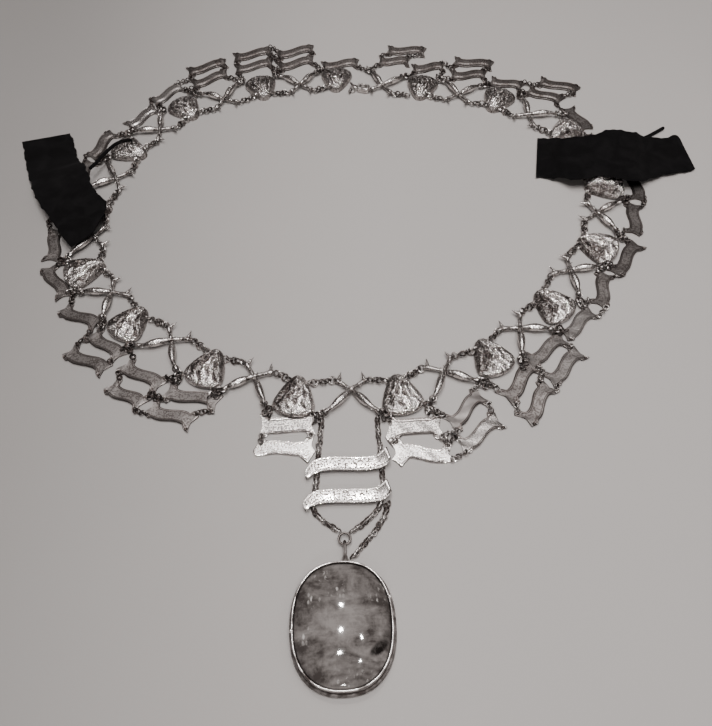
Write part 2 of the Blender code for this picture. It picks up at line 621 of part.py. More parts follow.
def banner_group_mesh(links, frames):
    banners = [banner for link in links for banner in BANNERS if banner.link == link]
    parts = [moved_mesh(banner_mesh(banner), banner_matrix(banner, frames)) for banner in banners]
    for start, end in ring_bars(banners, frames) + hanger_bars(banners, frames):
        parts.append(tube_mesh("ring_bar", (start, end), (RING_WIRE, RING_WIRE), 4))
    return joined_mesh("banners", parts)


# ---------------------------------------------------------------- the centre drop

def scroll_mesh(sections):
    """A curling band: each section gives its middle point, half width and how far it curls up."""
    middles = np.array([(section.x, section.y) for section in sections])
    slopes = np.gradient(middles, axis=0)
    slopes /= np.linalg.norm(slopes, axis=1)[:, None]
    top = []
    for section, slope in zip(sections, slopes):
        aside = np.array((-slope[1], slope[0])) * section.half_width
        height = SCROLL_LIFT + SCROLL_THICKNESS + section.curl
        top.append([(section.x + aside[0], section.y + aside[1], height),
                    (section.x - aside[0], section.y - aside[1], height)])
    return plate_mesh("scroll", top, SCROLL_THICKNESS)


def smooth_route(points, spacing):
    """Points every spacing millimetres along a Catmull-Rom curve through the route's own points."""
    points = np.asarray(points, dtype=float)
    padded = np.concatenate([2 * points[:1] - points[1:2], points, 2 * points[-1:] - points[-2:-1]])
    fine = []
    share = np.linspace(0.0, 1.0, 24, endpoint=False)[:, None]
    for a, b, c, d in zip(padded, padded[1:], padded[2:], padded[3:]):
        fine.append(0.5 * (2 * b + (c - a) * share + (2 * a - 5 * b + 4 * c - d) * share ** 2
                           + (3 * b - a - 3 * c + d) * share ** 3))
    fine = np.concatenate(fine + [points[-1:]])
    run = np.concatenate([[0.0], np.cumsum(np.linalg.norm(np.diff(fine, axis=0), axis=1))])
    stops = np.linspace(0.0, run[-1], max(2, round(run[-1] / spacing) + 1))
    return np.stack([np.interp(stops, run, fine[:, axis]) for axis in range(3)], axis=1)


def add_cord_tube(name, route, radius, material):
    """A round tube on a smooth route: a curve object with a bevel and filled caps."""
    points = smooth_route(route, 5.0 * radius)
    curve = bpy.data.curves.new(name, "CURVE")
    curve.dimensions = "3D"
    curve.bevel_depth = radius * MM
    curve.bevel_resolution = 2
    curve.use_fill_caps = True
    spline = curve.splines.new("POLY")
    spline.points.add(len(points) - 1)
    for spot, point in zip(spline.points, points):
        spot.co = (*(MM * point), 1.0)
    curve.materials.append(material)
    piece = bpy.data.objects.new(name, curve)
    bpy.context.collection.objects.link(piece)
    return piece


def oblong_ring(inset, z):
    """A rounded oblong, inset from the pendant's outline by so many millimetres, at a height."""
    turn = np.arange(PENDANT_SIDES) * 2.0 * math.pi / PENDANT_SIDES
    across, up = np.cos(turn), np.sin(turn)
    power = 2.0 / PENDANT_POWER
    x = PENDANT_MIDDLE[0] + (PENDANT_HALF_WIDTH - inset) * np.sign(across) * np.abs(across) ** power
    y = PENDANT_MIDDLE[1] + (PENDANT_HALF_HEIGHT - inset) * np.sign(up) * np.abs(up) ** power
    return np.stack([x, y, np.full_like(x, z)], axis=1)


def bezel_mesh():
    """Stepped back plate with a tall thin rim, open upward for the stone, and the loop at its head."""
    body = mesh_from_rings("bezel", [oblong_ring(step.inset, step.z) for step in BEZEL_PROFILE])
    return joined_mesh("bezel", [body, standing_loop_mesh()])


def standing_loop_mesh():
    """Long upright loop soldered to the head of the rim: two straight sides and two half rounds."""
    near = PENDANT_MIDDLE[1] + PENDANT_HALF_HEIGHT - LOOP_SUNK
    far = BAIL_MIDDLE[1] - BAIL_RADIUS - LOOP_SUNK
    spin = np.arange(6) * 2.0 * math.pi / 6
    rings = []
    for middle, first in ((far, -90.0), (near, 90.0)):
        for step in range(7):
            angle = math.radians(first + 30.0 * step)
            reach = LOOP_RADIUS + LOOP_WIRE * np.cos(spin)
            rings.append(np.stack([BAIL_MIDDLE[0] + LOOP_WIRE * np.sin(spin),
                                   middle + reach * math.cos(angle),
                                   BAIL_MIDDLE[2] + reach * math.sin(angle)], axis=1))
    rings.append(rings[0])
    return mesh_from_rings("loop", rings, caps=False)


def stone_mesh():
    """Cabochon: straight girdle inside the rim, then a dome."""
    inset = RIM_INNER + GAP
    foot = SEAT_HEIGHT + GAP
    rings = [oblong_ring(inset + STONE_BEVEL, foot), oblong_ring(inset, foot + STONE_BEVEL)]
    for angle in (0.0, *DOME_ANGLES):
        tilt = math.radians(angle)
        shrink = (PENDANT_HALF_WIDTH - inset) * (1.0 - math.cos(tilt))
        rings.append(oblong_ring(inset + shrink, GIRDLE_TOP + (STONE_TOP - GIRDLE_TOP) * math.sin(tilt)))
    return mesh_from_rings("stone", rings)


def ring_mesh(middle, radius, wire, around=14, sides=6):
    spin = np.arange(sides) * 2.0 * math.pi / sides
    rings = []
    for angle in np.arange(around) * 2.0 * math.pi / around:
        reach = radius + wire * np.cos(spin)
        rings.append(np.stack([middle[0] + reach * math.cos(angle), middle[1] + reach * math.sin(angle),
                               middle[2] + wire * np.sin(spin)], axis=1))
    rings.append(rings[0])
    return mesh_from_rings("ring", rings, caps=False)


# ---------------------------------------------------------------- the velvet

def ribbon_mesh(sections):
    """A soft band whose every section runs straight from its outer edge to its inner one."""
    top = []
    for section in sections:
        outer = np.array((section.outer_x, section.outer_y, section.outer_rise + VELVET))
        inner = np.array((section.inner_x, section.inner_y, section.inner_rise + VELVET))
        share = np.linspace(0.0, 1.0, RIBBON_ACROSS + 1)[:, None]
        top.append(outer + (inner - outer) * share)
    return strip_quads("ribbon", top, VELVET)


# ---------------------------------------------------------------- the whole

def centre_on_origin(pieces):
    """Shift every piece so that the middle of the whole footprint is the origin and its foot is z = 0."""
    graph = bpy.context.evaluated_depsgraph_get()
    graph.update()
    corners = []
    for piece in pieces:
        mesh = piece.evaluated_get(graph).to_mesh()
        points = np.empty(3 * len(mesh.vertices))
        mesh.vertices.foreach_get("co", points)
        world = np.array(piece.matrix_world)
        points = points.reshape(-1, 3) @ world[:3, :3].T + world[:3, 3]
        corners += [points.min(axis=0), points.max(axis=0)]
    low, high = np.min(corners, axis=0), np.max(corners, axis=0)
    shift = Vector((-(low[0] + high[0]) / 2.0, -(low[1] + high[1]) / 2.0, -low[2]))
    for piece in pieces:
        piece.location += shift


def build():
    for old in list(bpy.data.objects):
        bpy.data.objects.remove(old)
    silver = make_material("silver", (0.72, 0.70, 0.67), 0.28, 1.0)
    matt_silver = make_material("matt_silver", (0.70, 0.68, 0.65), 0.45, 1.0)
    stone = make_material("stone", (0.34, 0.32, 0.31), 0.08, 0.0)
    velvet = make_material("velvet", (0.012, 0.012, 0.013), 0.95, 0.0)

    frames, half_spans = link_frames()
    pieces = []
    shell = shell_mesh()
    tilt = Matrix.Rotation(-math.radians(SHELL_TILT), 4, "X")
    apex_up = Matrix.Translation((0.0, 0.0, MM * SHELL_LENGTH / 2.0 * math.sin(math.radians(SHELL_TILT))))
    for number in range(1, SHELL_COUNT + 1):
        matrix = frames[f"shell_{number:02d}_turned"] @ apex_up @ tilt
        pieces.append(add_piece(f"shell_{number:02d}", shell, silver, matrix, smooth_angle=40))
    for number in range(1, SHELL_COUNT + 1):
        link = f"cross_{number:02d}"
        mesh = cross_mesh(half_spans[link], number == CLASP_AFTER + 1)
        frame = frames[link + "_turned"]
        pieces.append(add_piece(f"cross_link_{number:02d}", mesh, silver, frame, smooth_angle=50))
    for number, links in enumerate(BANNER_GROUPS, start=1):
        mesh = banner_group_mesh(links, frames)
        pieces.append(add_piece(f"banners_{number:02d}", mesh, matt_silver))

    clasp_frame = frames[f"cross_{CLASP_AFTER + 1:02d}_turned"]
    pieces.append(add_piece("back_clasp", clasp_mesh(), silver, clasp_frame, smooth_angle=35))

    pieces.append(add_piece("scroll_upper", scroll_mesh(SCROLL_UPPER), matt_silver))
    pieces.append(add_piece("scroll_lower", scroll_mesh(SCROLL_LOWER), matt_silver))
    for name, route in DROP_CHAINS.items():
        pieces.append(add_cord_tube(name, route, CHAIN_RADIUS, silver))
    bail = ring_mesh(BAIL_MIDDLE, BAIL_RADIUS, BAIL_WIRE)
    pieces.append(add_piece("bail_ring", bail, silver, smooth_angle=60))
    pieces.append(add_piece("pendant_bezel", bezel_mesh(), silver, smooth_angle=35))
    pieces.append(add_piece("pendant_stone", stone_mesh(), stone, smooth_angle=50))

    pieces.append(add_piece("ribbon_left", ribbon_mesh(RIBBON_LEFT), velvet))
    pieces.append(add_piece("ribbon_right", ribbon_mesh(RIBBON_RIGHT), velvet))
    for name, route in TIES.items():
        pieces.append(add_cord_tube(name, route, TIE_RADIUS, velvet))
    centre_on_origin(pieces)


build()
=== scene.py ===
"""Looks of the chain of office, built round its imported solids.

The layout of the links is worked out in the maker's frame, in millimetres: the origin is the front of the
neck loop, X runs to the right, Y to the back clasp and Z up. A link's own frame has x along the chain,
counter-clockwise seen from above, y to the inside of the loop and z up.
"""
import math
from collections import namedtuple

import bmesh
import bpy
import numpy as np
from bpy.props import FloatProperty, FloatVectorProperty, PointerProperty
from mathutils import Matrix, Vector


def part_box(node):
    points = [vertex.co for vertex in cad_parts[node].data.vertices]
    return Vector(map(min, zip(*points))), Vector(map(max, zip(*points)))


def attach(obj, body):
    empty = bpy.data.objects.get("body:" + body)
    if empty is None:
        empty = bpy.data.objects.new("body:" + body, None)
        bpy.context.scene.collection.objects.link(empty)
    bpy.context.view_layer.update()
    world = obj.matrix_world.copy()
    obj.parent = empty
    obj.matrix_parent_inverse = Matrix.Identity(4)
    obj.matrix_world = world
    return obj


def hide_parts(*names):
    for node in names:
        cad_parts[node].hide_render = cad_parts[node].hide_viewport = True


bl_info = {
    "name": "Chain of Office",
    "version": (1, 0, 0),
    "blender": (4, 5, 0),
    "location": "View3D > Sidebar > Chain",
    "description": "Silver chain of office: shells, thorny cross links, scroll banners and a stone pendant",
    "category": "Add Mesh",
}

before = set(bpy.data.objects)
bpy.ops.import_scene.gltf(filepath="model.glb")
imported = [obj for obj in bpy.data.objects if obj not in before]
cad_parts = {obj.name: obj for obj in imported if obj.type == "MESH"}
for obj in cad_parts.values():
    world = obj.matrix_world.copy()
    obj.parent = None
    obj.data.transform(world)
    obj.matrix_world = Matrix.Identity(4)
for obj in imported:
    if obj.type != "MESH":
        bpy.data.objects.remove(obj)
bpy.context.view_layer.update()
MM = 0.001

# ---------------------------------------------------------------- layout of the chain, as the solids lie

LOOP_HALF_WIDTH = 177.0
LOOP_FRONT_DEPTH = 148.0       # from its middle to the front
LOOP_BACK_DEPTH = 138.5        # and to the back
FRONT_POWER = 1.63             # of the superellipse, in front and at the back
BACK_POWER = 2.2
LOOP_SKEW = 2.3                # degrees
LOOP_MIDDLE = (1.4, 141.4)
NECK_STEPS = 4001
SHELL_COUNT = 17
CLASP_AFTER = 8                # number of the shell before the clasp
CLASP_SHARE = 0.155            # how much longer that step of the chain is, as a share of a plain one
CLASP_ROOM = 13.0              # how much of it the clasp takes
FIRST_SHELL = 0.37             # how many steps the first shell is from the front
SHELL_LENGTH = 24.4
SHELL_TILT = 4.5               # degrees, with its lower rim raised

LinkLay = namedtuple("LinkLay", "slide drift turn")
SHELL_LAY = {                  # mm forward, mm outward, degrees
    1: LinkLay(0.8, -1.9, 0), 2: LinkLay(1.0, 0.0, -6), 3: LinkLay(-1.8, -2.0, -8),
    4: LinkLay(-1.1, -0.6, -6), 5: LinkLay(-1.0, 0.0, 0), 6: LinkLay(-1.0, 1.3, 0),
    7: LinkLay(0.5, -1.2, 0), 8: LinkLay(1.7, -7.3, 0), 9: LinkLay(0.9, 1.0, 0),
    10: LinkLay(-0.3, 2.3, 0), 11: LinkLay(0.4, 4.0, 0), 12: LinkLay(-1.3, -2.3, 0),
    13: LinkLay(2.1, -5.0, 0), 14: LinkLay(2.0, 2.0, 4), 15: LinkLay(-1.0, 0.9, 8),
    16: LinkLay(1.2, -1.1, 5), 17: LinkLay(-1.9, -1.0, 2),
}
USUAL_SEAT = 1.2               # how far inside its place in the chain a shell itself sits
SHELL_SEAT = {2: 2.2, 3: 2.5, 4: 2.6, 8: -1.6, 9: -2.0, 10: -1.6, 11: -0.8, 17: 1.8}
CROSS_LAY = {
    1: LinkLay(2.0, 0.0, 0),
    4: LinkLay(1.0, -2.6, 0), 5: LinkLay(1.2, -0.5, 0), 7: LinkLay(1.0, 2.5, 0),
    8: LinkLay(0.0, 2.8, 0), 9: LinkLay(2.2, 3.3, -6), 10: LinkLay(-1.0, 3.4, 0),
    11: LinkLay(0.4, 3.4, 0), 12: LinkLay(0.0, 2.2, 0), 17: LinkLay(0.34, -0.3, 0),
}
CROSS_HALF_SPAN = 29.0

# A banner's spike is the end, as a sign of x, at which its outer horn is drawn out to a point
Banner = namedtuple("Banner", "link tier along out turn length spike", defaults=(0,))
BANNER_LAY = {                 # by link, its first row and its second one: along, out, turn, length and spike
    "shell_17": ((-0.6, 15.4, 10, 31), (1.7, 28.2, 16, 30.6, 1)),
    "shell_01": ((2.1, 18.7, -13, 31, -1), (2.6, 34.2, -14, 32, -1)),
    "cross_02": ((0.0, 20.4, 15, 28), (0.0, 36.2, 7, 29)),
    "shell_02": ((4.4, 18.0, 14, 31), (3.6, 34.2, 17, 29)),
    "cross_03": ((1.0, 14.6, -11, 29), (0.0, 29.0, -2, 30)), "shell_03": ((0.0, 15.2, -11, 28),),
    "cross_04": ((1.0, 14.8, 12, 28),), "shell_04": ((-0.7, 15.4, -17, 33),),
    "cross_05": ((3.2, 18.7, -5, 29),), "shell_05": ((1.0, 19.4, -12, 30),),
    "cross_06": ((0.0, 18.0, 0, 28),), "shell_06": ((7.4, 17.2, -16, 28),),
    "cross_07": ((5.6, 26.0, 6, 29), (3.6, 42.6, 12, 32)), "shell_07": ((1.1, 20.8, 4, 27),),
    "cross_08": ((-3.0, 25.0, 9, 29), (-4.2, 40.6, -2, 32)), "shell_08": ((-1.2, 27.6, 12, 27),),
    "cross_09": ((-1.0, 32.0, 2, 26), (-8.6, 46.8, 0, 32)), "shell_09": ((-2.0, 21.8, 4, 31),),
    "cross_10": ((0.0, 28.2, 6, 31), (-0.9, 43.6, 3, 32)),
    "shell_10": ((0.3, 30.8, -4, 32), (-1.8, 46.4, -4, 33)),
    "cross_11": ((3.3, 28.8, 1, 31), (1.2, 44.6, -4, 33)), "shell_11": ((2.2, 25.6, 4, 29),),
    "cross_12": ((-2.2, 20.0, -7, 29),), "shell_12": ((3.3, 21.2, 0, 31),),
    "cross_13": ((0.0, 20.0, 0, 28),), "shell_13": ((0.0, 21.0, 0, 29),),
    "cross_14": ((1.6, 20.4, -8, 28.6),), "shell_14": ((0.2, 16.4, 6, 31),),
    "cross_15": ((2.0, 17.8, 16, 29),), "shell_15": ((0.5, 16.8, -6, 28), (0.3, 30.8, 7, 30)),
    "cross_16": ((0.3, 21.0, -5, 30), (1.4, 35.8, -6, 26)),
    "shell_16": ((1.8, 17.0, 8, 33), (-2.1, 32.0, 1, 29)),
}
BANNER_GROUPS = (
    ("shell_17",), ("shell_01", "cross_02"), ("shell_02", "cross_03"),
    ("shell_03", "cross_04", "shell_04"), ("cross_05", "shell_05", "cross_06"),
    ("shell_06", "cross_07", "shell_07"), ("cross_08", "shell_08"), ("cross_09", "shell_09"),
    ("cross_10", "shell_10"), ("cross_11", "shell_11", "cross_12"),
    ("shell_12", "cross_13", "shell_13", "cross_14"), ("shell_14", "cross_15", "shell_15"),
    ("cross_16", "shell_16"),
)

SCROLLS = {                    # the middle line from its left tail to its right one: x, y, half width, curl
    "scroll_upper": (
        (-23.6, -46.6, 0.5, -0.4), (-21.6, -43.2, 2.4, 0.0), (-17.5, -40.0, 3.7, 0.3),
        (-10.0, -39.0, 3.9, 0.4), (0.0, -39.3, 4.0, 0.0), (9.0, -39.6, 4.0, 0.3),
        (15.0, -38.6, 3.9, 0.9), (19.6, -35.0, 3.3, 2.2),
    ),
    "scroll_lower": (
        (-23.4, -63.8, 0.5, -0.4), (-22.6, -60.4, 2.6, 0.0), (-18.0, -57.4, 3.7, 0.3),
        (-10.0, -56.8, 3.7, 0.4), (0.0, -57.0, 3.8, 0.0), (9.0, -57.2, 3.8, 0.3),
        (14.6, -56.2, 3.8, 0.9), (18.8, -52.8, 3.2, 2.2),
    ),
}
DROP_CHAINS = {                # routes from the top down: x, y, z
    "drop_chain_left": ((-15.4, -12.6, 1.6), (-16.6, -24.0, 1.4), (-17.6, -35.0, 1.4),
                        (-18.3, -46.0, 1.4), (-19.2, -55.0, 1.4), (-19.6, -63.0, 1.4),
                        (-14.0, -69.5, 1.6), (-7.9, -74.0, 1.9)),
    "drop_chain_right": ((14.8, -12.0, 1.6), (15.0, -24.0, 1.4), (15.4, -35.0, 1.4),
                         (15.8, -46.0, 1.4), (15.2, -55.0, 1.4), (13.4, -62.0, 1.4),
                         (6.6, -69.4, 1.6), (-0.6, -74.8, 1.9)),
    "drop_chain_spare": ((17.6, -61.0, 1.4), (15.4, -68.0, 1.4), (10.4, -75.0, 1.4),
                         (4.0, -82.2, 1.4), (-0.6, -87.2, 1.6)),
}
PENDANT_MIDDLE = (-6.5, -119.3)
PENDANT_HALF_WIDTH = 24.6
PENDANT_HALF_HEIGHT = 29.6
PENDANT_POWER = 2.35
BAIL_MIDDLE = (-4.6, -78.6, 2.6)
BAIL_RADIUS = 2.9
BAIL_WIRE = 0.6

RIBBONS = {                    # outer edge, then inner one: x, y and how far the underside is above the table
    "ribbon_left": (
        (-231.3, 225.5, 0.2, -197.9, 232.8, 0.2), (-228.0, 215.5, 0.2, -193.5, 223.2, 0.2),
        (-224.7, 205.3, 0.3, -189.0, 210.4, 0.5), (-221.0, 195.5, 0.9, -184.1, 198.9, 3.2),
        (-217.4, 186.1, 1.8, -178.6, 192.6, 6.6), (-213.0, 177.0, 3.8, -174.6, 184.3, 8.2),
        (-208.7, 167.5, 6.2, -170.6, 175.0, 8.8), (-200.9, 153.8, 8.6, -166.5, 165.1, 9.0),
        (-193.9, 143.8, 9.2, -159.6, 156.6, 8.8), (-188.1, 135.8, 9.0, -154.8, 148.4, 8.4),
        (-181.7, 126.0, 8.4, -157.4, 134.4, 8.0), (-177.0, 119.5, 7.8, -160.7, 126.1, 7.6),
        (-172.1, 114.3, 7.2, -166.1, 119.5, 7.2),
    ),
    "ribbon_right": (
        (132.0, 167.9, 0.2, 139.8, 206.9, 0.2), (140.6, 165.8, 0.6, 147.0, 202.3, 4.0),
        (147.4, 161.0, 4.6, 152.5, 197.6, 7.6), (155.8, 154.6, 8.6, 162.7, 196.9, 8.8),
        (168.6, 156.6, 9.2, 174.1, 197.6, 9.0), (179.0, 155.0, 9.2, 188.0, 203.0, 9.0),
        (187.0, 152.4, 8.8, 197.0, 201.8, 8.6), (196.9, 152.5, 6.8, 205.7, 201.3, 6.8),
        (205.5, 157.5, 4.0, 212.6, 200.9, 3.4), (214.0, 162.0, 2.0, 224.3, 201.6, 1.2),
        (224.0, 165.0, 1.2, 230.4, 201.4, 0.6), (233.4, 166.8, 0.2, 236.0, 203.0, 2.4),
        (241.4, 169.4, 0.2, 239.4, 198.6, 0.6),
    ),
}
TIE_DIAMETER = 0.0024
TIES = {                       # routes from under the ribbon: x, y, z
    "ribbon_tie_left": ((-172.4, 184.9, 9.4), (-169.4, 190.4, 9.2), (-166.3, 198.0, 8.8),
                        (-162.4, 203.8, 9.2), (-158.6, 208.1, 9.8), (-153.8, 211.2, 9.9),
                        (-147.2, 212.2, 9.8)),
    "ribbon_tie_right": ((199.6, 196.4, 1.4), (206.0, 199.4, 1.4), (212.2, 201.6, 1.4),
                         (217.6, 204.2, 1.4), (223.6, 207.8, 1.4), (231.0, 212.4, 1.4)),
}


def maker_shift():
    """Where the maker's origin is in the row frame, in millimetres, from the pendant's solid."""
    low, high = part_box("pendant_bezel")
    x = (low.x + high.x) / 2.0 / MM - PENDANT_MIDDLE[0]
    y = low.y / MM - (PENDANT_MIDDLE[1] - PENDANT_HALF_HEIGHT)
    return np.array((x, y, low.z / MM))


SHIFT = maker_shift()


def turned(points, degrees):
    """Points turned about Z: x' = x cos a - y sin a, y' = x sin a + y cos a."""
    angle = math.radians(degrees)
    turn = np.array(((math.cos(angle), math.sin(angle), 0.0), (-math.sin(angle), math.cos(angle), 0.0),
                     (0.0, 0.0, 1.0)))
    return np.asarray(points, dtype=float) @ turn


def unit(vectors):
    """Each vector over its own length."""
    return vectors / np.maximum(np.linalg.norm(vectors, axis=1), 1e-6)[:, None]


def run_along(points):
    """How far along a line each of its points is: the sum of the steps up to it."""
    return np.concatenate([[0.0], np.cumsum(np.linalg.norm(np.diff(points, axis=0), axis=1))])


def read_line(stops, run, line):
    """The line's points at those distances along it, straight between its own."""
    return np.stack([np.interp(stops, run, line[:, i]) for i in range(line.shape[1])], axis=1)


def full_turn(count):
    """Angles all the way round, in count even steps."""
    return np.arange(count) * 2.0 * math.pi / count


def superellipse(turn, power):
    """x = cos^(2/n) t and y = sin^(2/n) t with their signs kept, which lie on |x|^n + |y|^n = 1."""
    x, y = np.cos(turn), np.sin(turn)
    return np.sign(x) * np.abs(x) ** (2.0 / power), np.sign(y) * np.abs(y) ** (2.0 / power)


class LinkFrame(namedtuple("LinkFrame", "x y heading")):
    """Where a link lies on the table."""

    def carry(self, points):
        """Points of the link's own frame in the maker's: turned by its heading, then moved to its place."""
        return turned(points, self.heading) + (self.x, self.y, 0.0)

    def beside(self, slide, drift, turn):
        """The frame that lies so far forward and outward on this one, turned by so much."""
        spot = self.carry(((slide, -drift, 0.0),))[0]
        return LinkFrame(spot[0], spot[1], self.heading + turn)


def neck_route():
    """A superellipse, nearly pointed in front: x = a sin^(2/n) t, y = -b cos^(2/n) t, turned by the skew."""
    turn = np.linspace(0.0, 2.0 * math.pi, NECK_STEPS)
    front = np.cos(turn) > 0.0
    ahead, aside = superellipse(turn, np.where(front, FRONT_POWER, BACK_POWER))
    back = -np.where(front, LOOP_FRONT_DEPTH, LOOP_BACK_DEPTH) * ahead
    line = np.stack([LOOP_HALF_WIDTH * aside, back, np.zeros_like(back)], axis=1)
    line = turned(line, LOOP_SKEW)[:, :2] + LOOP_MIDDLE
    return line, run_along(line)


def link_frames():
    """Frame of every link by name, the same with its own turn by name_turned, and every cross's half span."""
    line, run = neck_route()
    pitch = run[-1] / (SHELL_COUNT + CLASP_SHARE)
    numbers = range(1, SHELL_COUNT + 1)
    places, frames, half_spans = {}, {}, {}
    for number in numbers:
        clasp = CLASP_SHARE if number > CLASP_AFTER else 0.0
        at = pitch * (FIRST_SHELL + number - 1 + clasp) + np.array((0.0, 1.0))
        here, onward = read_line(at, run, line)
        forward = (onward - here) / np.linalg.norm(onward - here)
        outward = np.array((forward[1], -forward[0]))
        lay = SHELL_LAY[number]
        places[number] = here + forward * lay.slide + outward * lay.drift
    for number in numbers:
        shell_name, cross_name = f"shell_{number:02d}", f"cross_{number:02d}"
        before = places[number - 1 or SHELL_COUNT]
        chord = places[number % SHELL_COUNT + 1] - before
        shell = LinkFrame(*places[number], math.degrees(math.atan2(chord[1], chord[0])))
        seat = SHELL_SEAT.get(number, USUAL_SEAT)
        span = places[number] - before
        middle = (places[number] + before) / 2.0
        half_span = np.linalg.norm(span) / 2.0
        if number == CLASP_AFTER + 1:
            middle = middle - span / np.linalg.norm(span) * CLASP_ROOM / 2.0
            half_span -= CLASP_ROOM / 2.0
        cross = LinkFrame(*middle, math.degrees(math.atan2(span[1], span[0])))
        frames[shell_name], frames[cross_name] = shell, cross
        frames[shell_name + "_turned"] = shell.beside(0.0, -seat, SHELL_LAY[number].turn)
        frames[cross_name + "_turned"] = cross.beside(*CROSS_LAY.get(number, LinkLay(0, 0, 0)))
        half_spans[cross_name] = half_span
    return frames, half_spans


FRAMES, HALF_SPANS = link_frames()

# ---------------------------------------------------------------- surfaces

FLUTE_COUNT = 6
RING_OVERLAP = 1.55            # pitch of a string of rings over its ring's radius inside the wire
RING_UNREST = 0.35             # how far its rings lean out of line
MERGE_DISTANCE = 2e-6          # metres, below which two points are one
Patch = namedtuple("Patch", "points quads wear uv")


def grid_quads(rows, columns, close_rows=False, close_columns=False):
    """Quads of a grid of points, row by row, going round where a direction is closed."""
    row, column = np.meshgrid(np.arange(rows if close_rows else rows - 1),
                              np.arange(columns if close_columns else columns - 1), indexing="ij")
    below, beside = (row + 1) % rows, (column + 1) % columns
    corners = ((row, column), (row, beside), (below, beside), (below, column))
    return np.stack([a * columns + b for a, b in corners], axis=-1).reshape(-1, 4)


def patch(points, wear=0.0, uv=None, close_rows=False, close_columns=False):
    """A grid of points as a patch, with its darkening from 0 to 1 and its UV at every point."""
    rows, columns = points.shape[:2]
    flat = points.reshape(-1, 3)
    wear = np.broadcast_to(wear, (rows, columns)).reshape(-1)
    uv = np.zeros((rows * columns, 2)) if uv is None else np.stack(uv, axis=-1).reshape(-1, 2)
    return Patch(flat, grid_quads(rows, columns, close_rows, close_columns), wear, uv)


def carried(part, link):
    """A patch of the link's own frame in the maker's."""
    return part._replace(points=link.carry(part.points))


def make_piece(name, patches, material, replaces, smooth_angle=40.0):
    """One mesh object from patches in the maker's frame. It stands for CAD nodes and rides on the root."""
    counts = np.cumsum([0] + [len(p.points) for p in patches])
    points = (np.concatenate([p.points for p in patches]) + SHIFT) * MM
    quads = np.concatenate([p.quads + start for p, start in zip(patches, counts)])
    mesh = bpy.data.meshes.new(name)
    mesh.from_pydata(points.tolist(), [], quads.tolist())
    # The wear attribute holds real wear and, on some pieces, painted shade and painted light.
    wear = mesh.attributes.new("wear", "FLOAT", "POINT")
    wear.data.foreach_set("value", np.concatenate([p.wear for p in patches]).astype(np.float32))
    layer = mesh.uv_layers.new(name="UVMap")
    corners = np.concatenate([p.uv for p in patches])[quads.ravel()]
    layer.data.foreach_set("uv", corners.astype(np.float32).ravel())
    work = bmesh.new()
    work.from_mesh(mesh)
    bmesh.ops.remove_doubles(work, verts=work.verts, dist=MERGE_DISTANCE)
    bmesh.ops.recalc_face_normals(work, faces=work.faces)
    work.to_mesh(mesh)
    work.free()
    mesh.shade_smooth()
    mesh.set_sharp_from_angle(angle=math.radians(smooth_angle))
    mesh.materials.append(material)
    piece = bpy.data.objects.new(name, mesh)
    bpy.context.scene.collection.objects.link(piece)
    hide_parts(*replaces)
    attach(piece, "root")
    return piece


def smooth_line(points, count):
    """Catmull-Rom curve through points of any number of columns, as count points evenly spaced along it."""
    points = np.asarray(points, dtype=float)
    padded = np.concatenate([2 * points[:1] - points[1:2], points, 2 * points[-1:] - points[-2:-1]])
    a, b, c, d = (padded[i:len(padded) - 3 + i, None] for i in range(4))
    share = np.linspace(0.0, 1.0, 24, endpoint=False)[None, :, None]
    fine = 0.5 * (2 * b + (c - a) * share + (2 * a - 5 * b + 4 * c - d) * share ** 2
                  + (3 * b - a - 3 * c + d) * share ** 3)
    fine = np.concatenate([fine.reshape(-1, points.shape[1]), points[-1:]])
    run = run_along(fine[:, :3])
    return read_line(np.linspace(0.0, run[-1], count), run, fine)


def smooth_flat_line(points, count):
    """The same for points on a plane, given by x and y."""
    return smooth_line(np.pad(points, ((0, 0), (0, 1))), count)[:, :2]


def line_length(points):
    """How long a line through points is."""
    return float(run_along(points[:, :3])[-1])


def tube(line, radii, sides=10, flutes=0.0, wear=0.0):
    """A round skin of the given radii along a line, closed at its ends. Flutes are shares of the radius."""
    line, radii = np.asarray(line, dtype=float), np.asarray(radii, dtype=float)
    along = unit(np.gradient(line, axis=0))
    aside = unit(np.cross(along, (0.0, 0.0, 1.0)))
    up = np.cross(aside, along)
    turn = full_turn(sides)
    cut = 1.0 - np.asarray(flutes)[..., None] * (0.5 + 0.5 * np.cos(FLUTE_COUNT * turn))
    reach = radii[:, None] * cut
    points = (line[:, None] + reach[..., None] * (np.cos(turn)[None, :, None] * aside[:, None]
                                                  + np.sin(turn)[None, :, None] * up[:, None]))
    points = np.concatenate([np.repeat(line[:1, None], sides, axis=1), points,
                             np.repeat(line[-1:, None], sides, axis=1)])
    wear = np.broadcast_to(np.asarray(wear, dtype=float), reach.shape) + 0.8 * (1.0 - cut)
    wear = np.concatenate([wear[:1], wear, wear[-1:]])
    return patch(points, wear, close_columns=True)


def rings(middles, axes, radius, wire, around=12, sides=6, wear=0.45):
    """Many round rings at once about their axes."""
    middles, axes = np.atleast_2d(middles), unit(np.atleast_2d(axes).astype(float))
    helper = np.where(np.abs(axes[:, 2:]) > 0.8, (1.0, 0.0, 0.0), (0.0, 0.0, 1.0))
    first = unit(np.cross(axes, helper))
    return oriented_rings(middles, axes, first, radius, wire, around, sides, stretch=1.0, wear=wear)


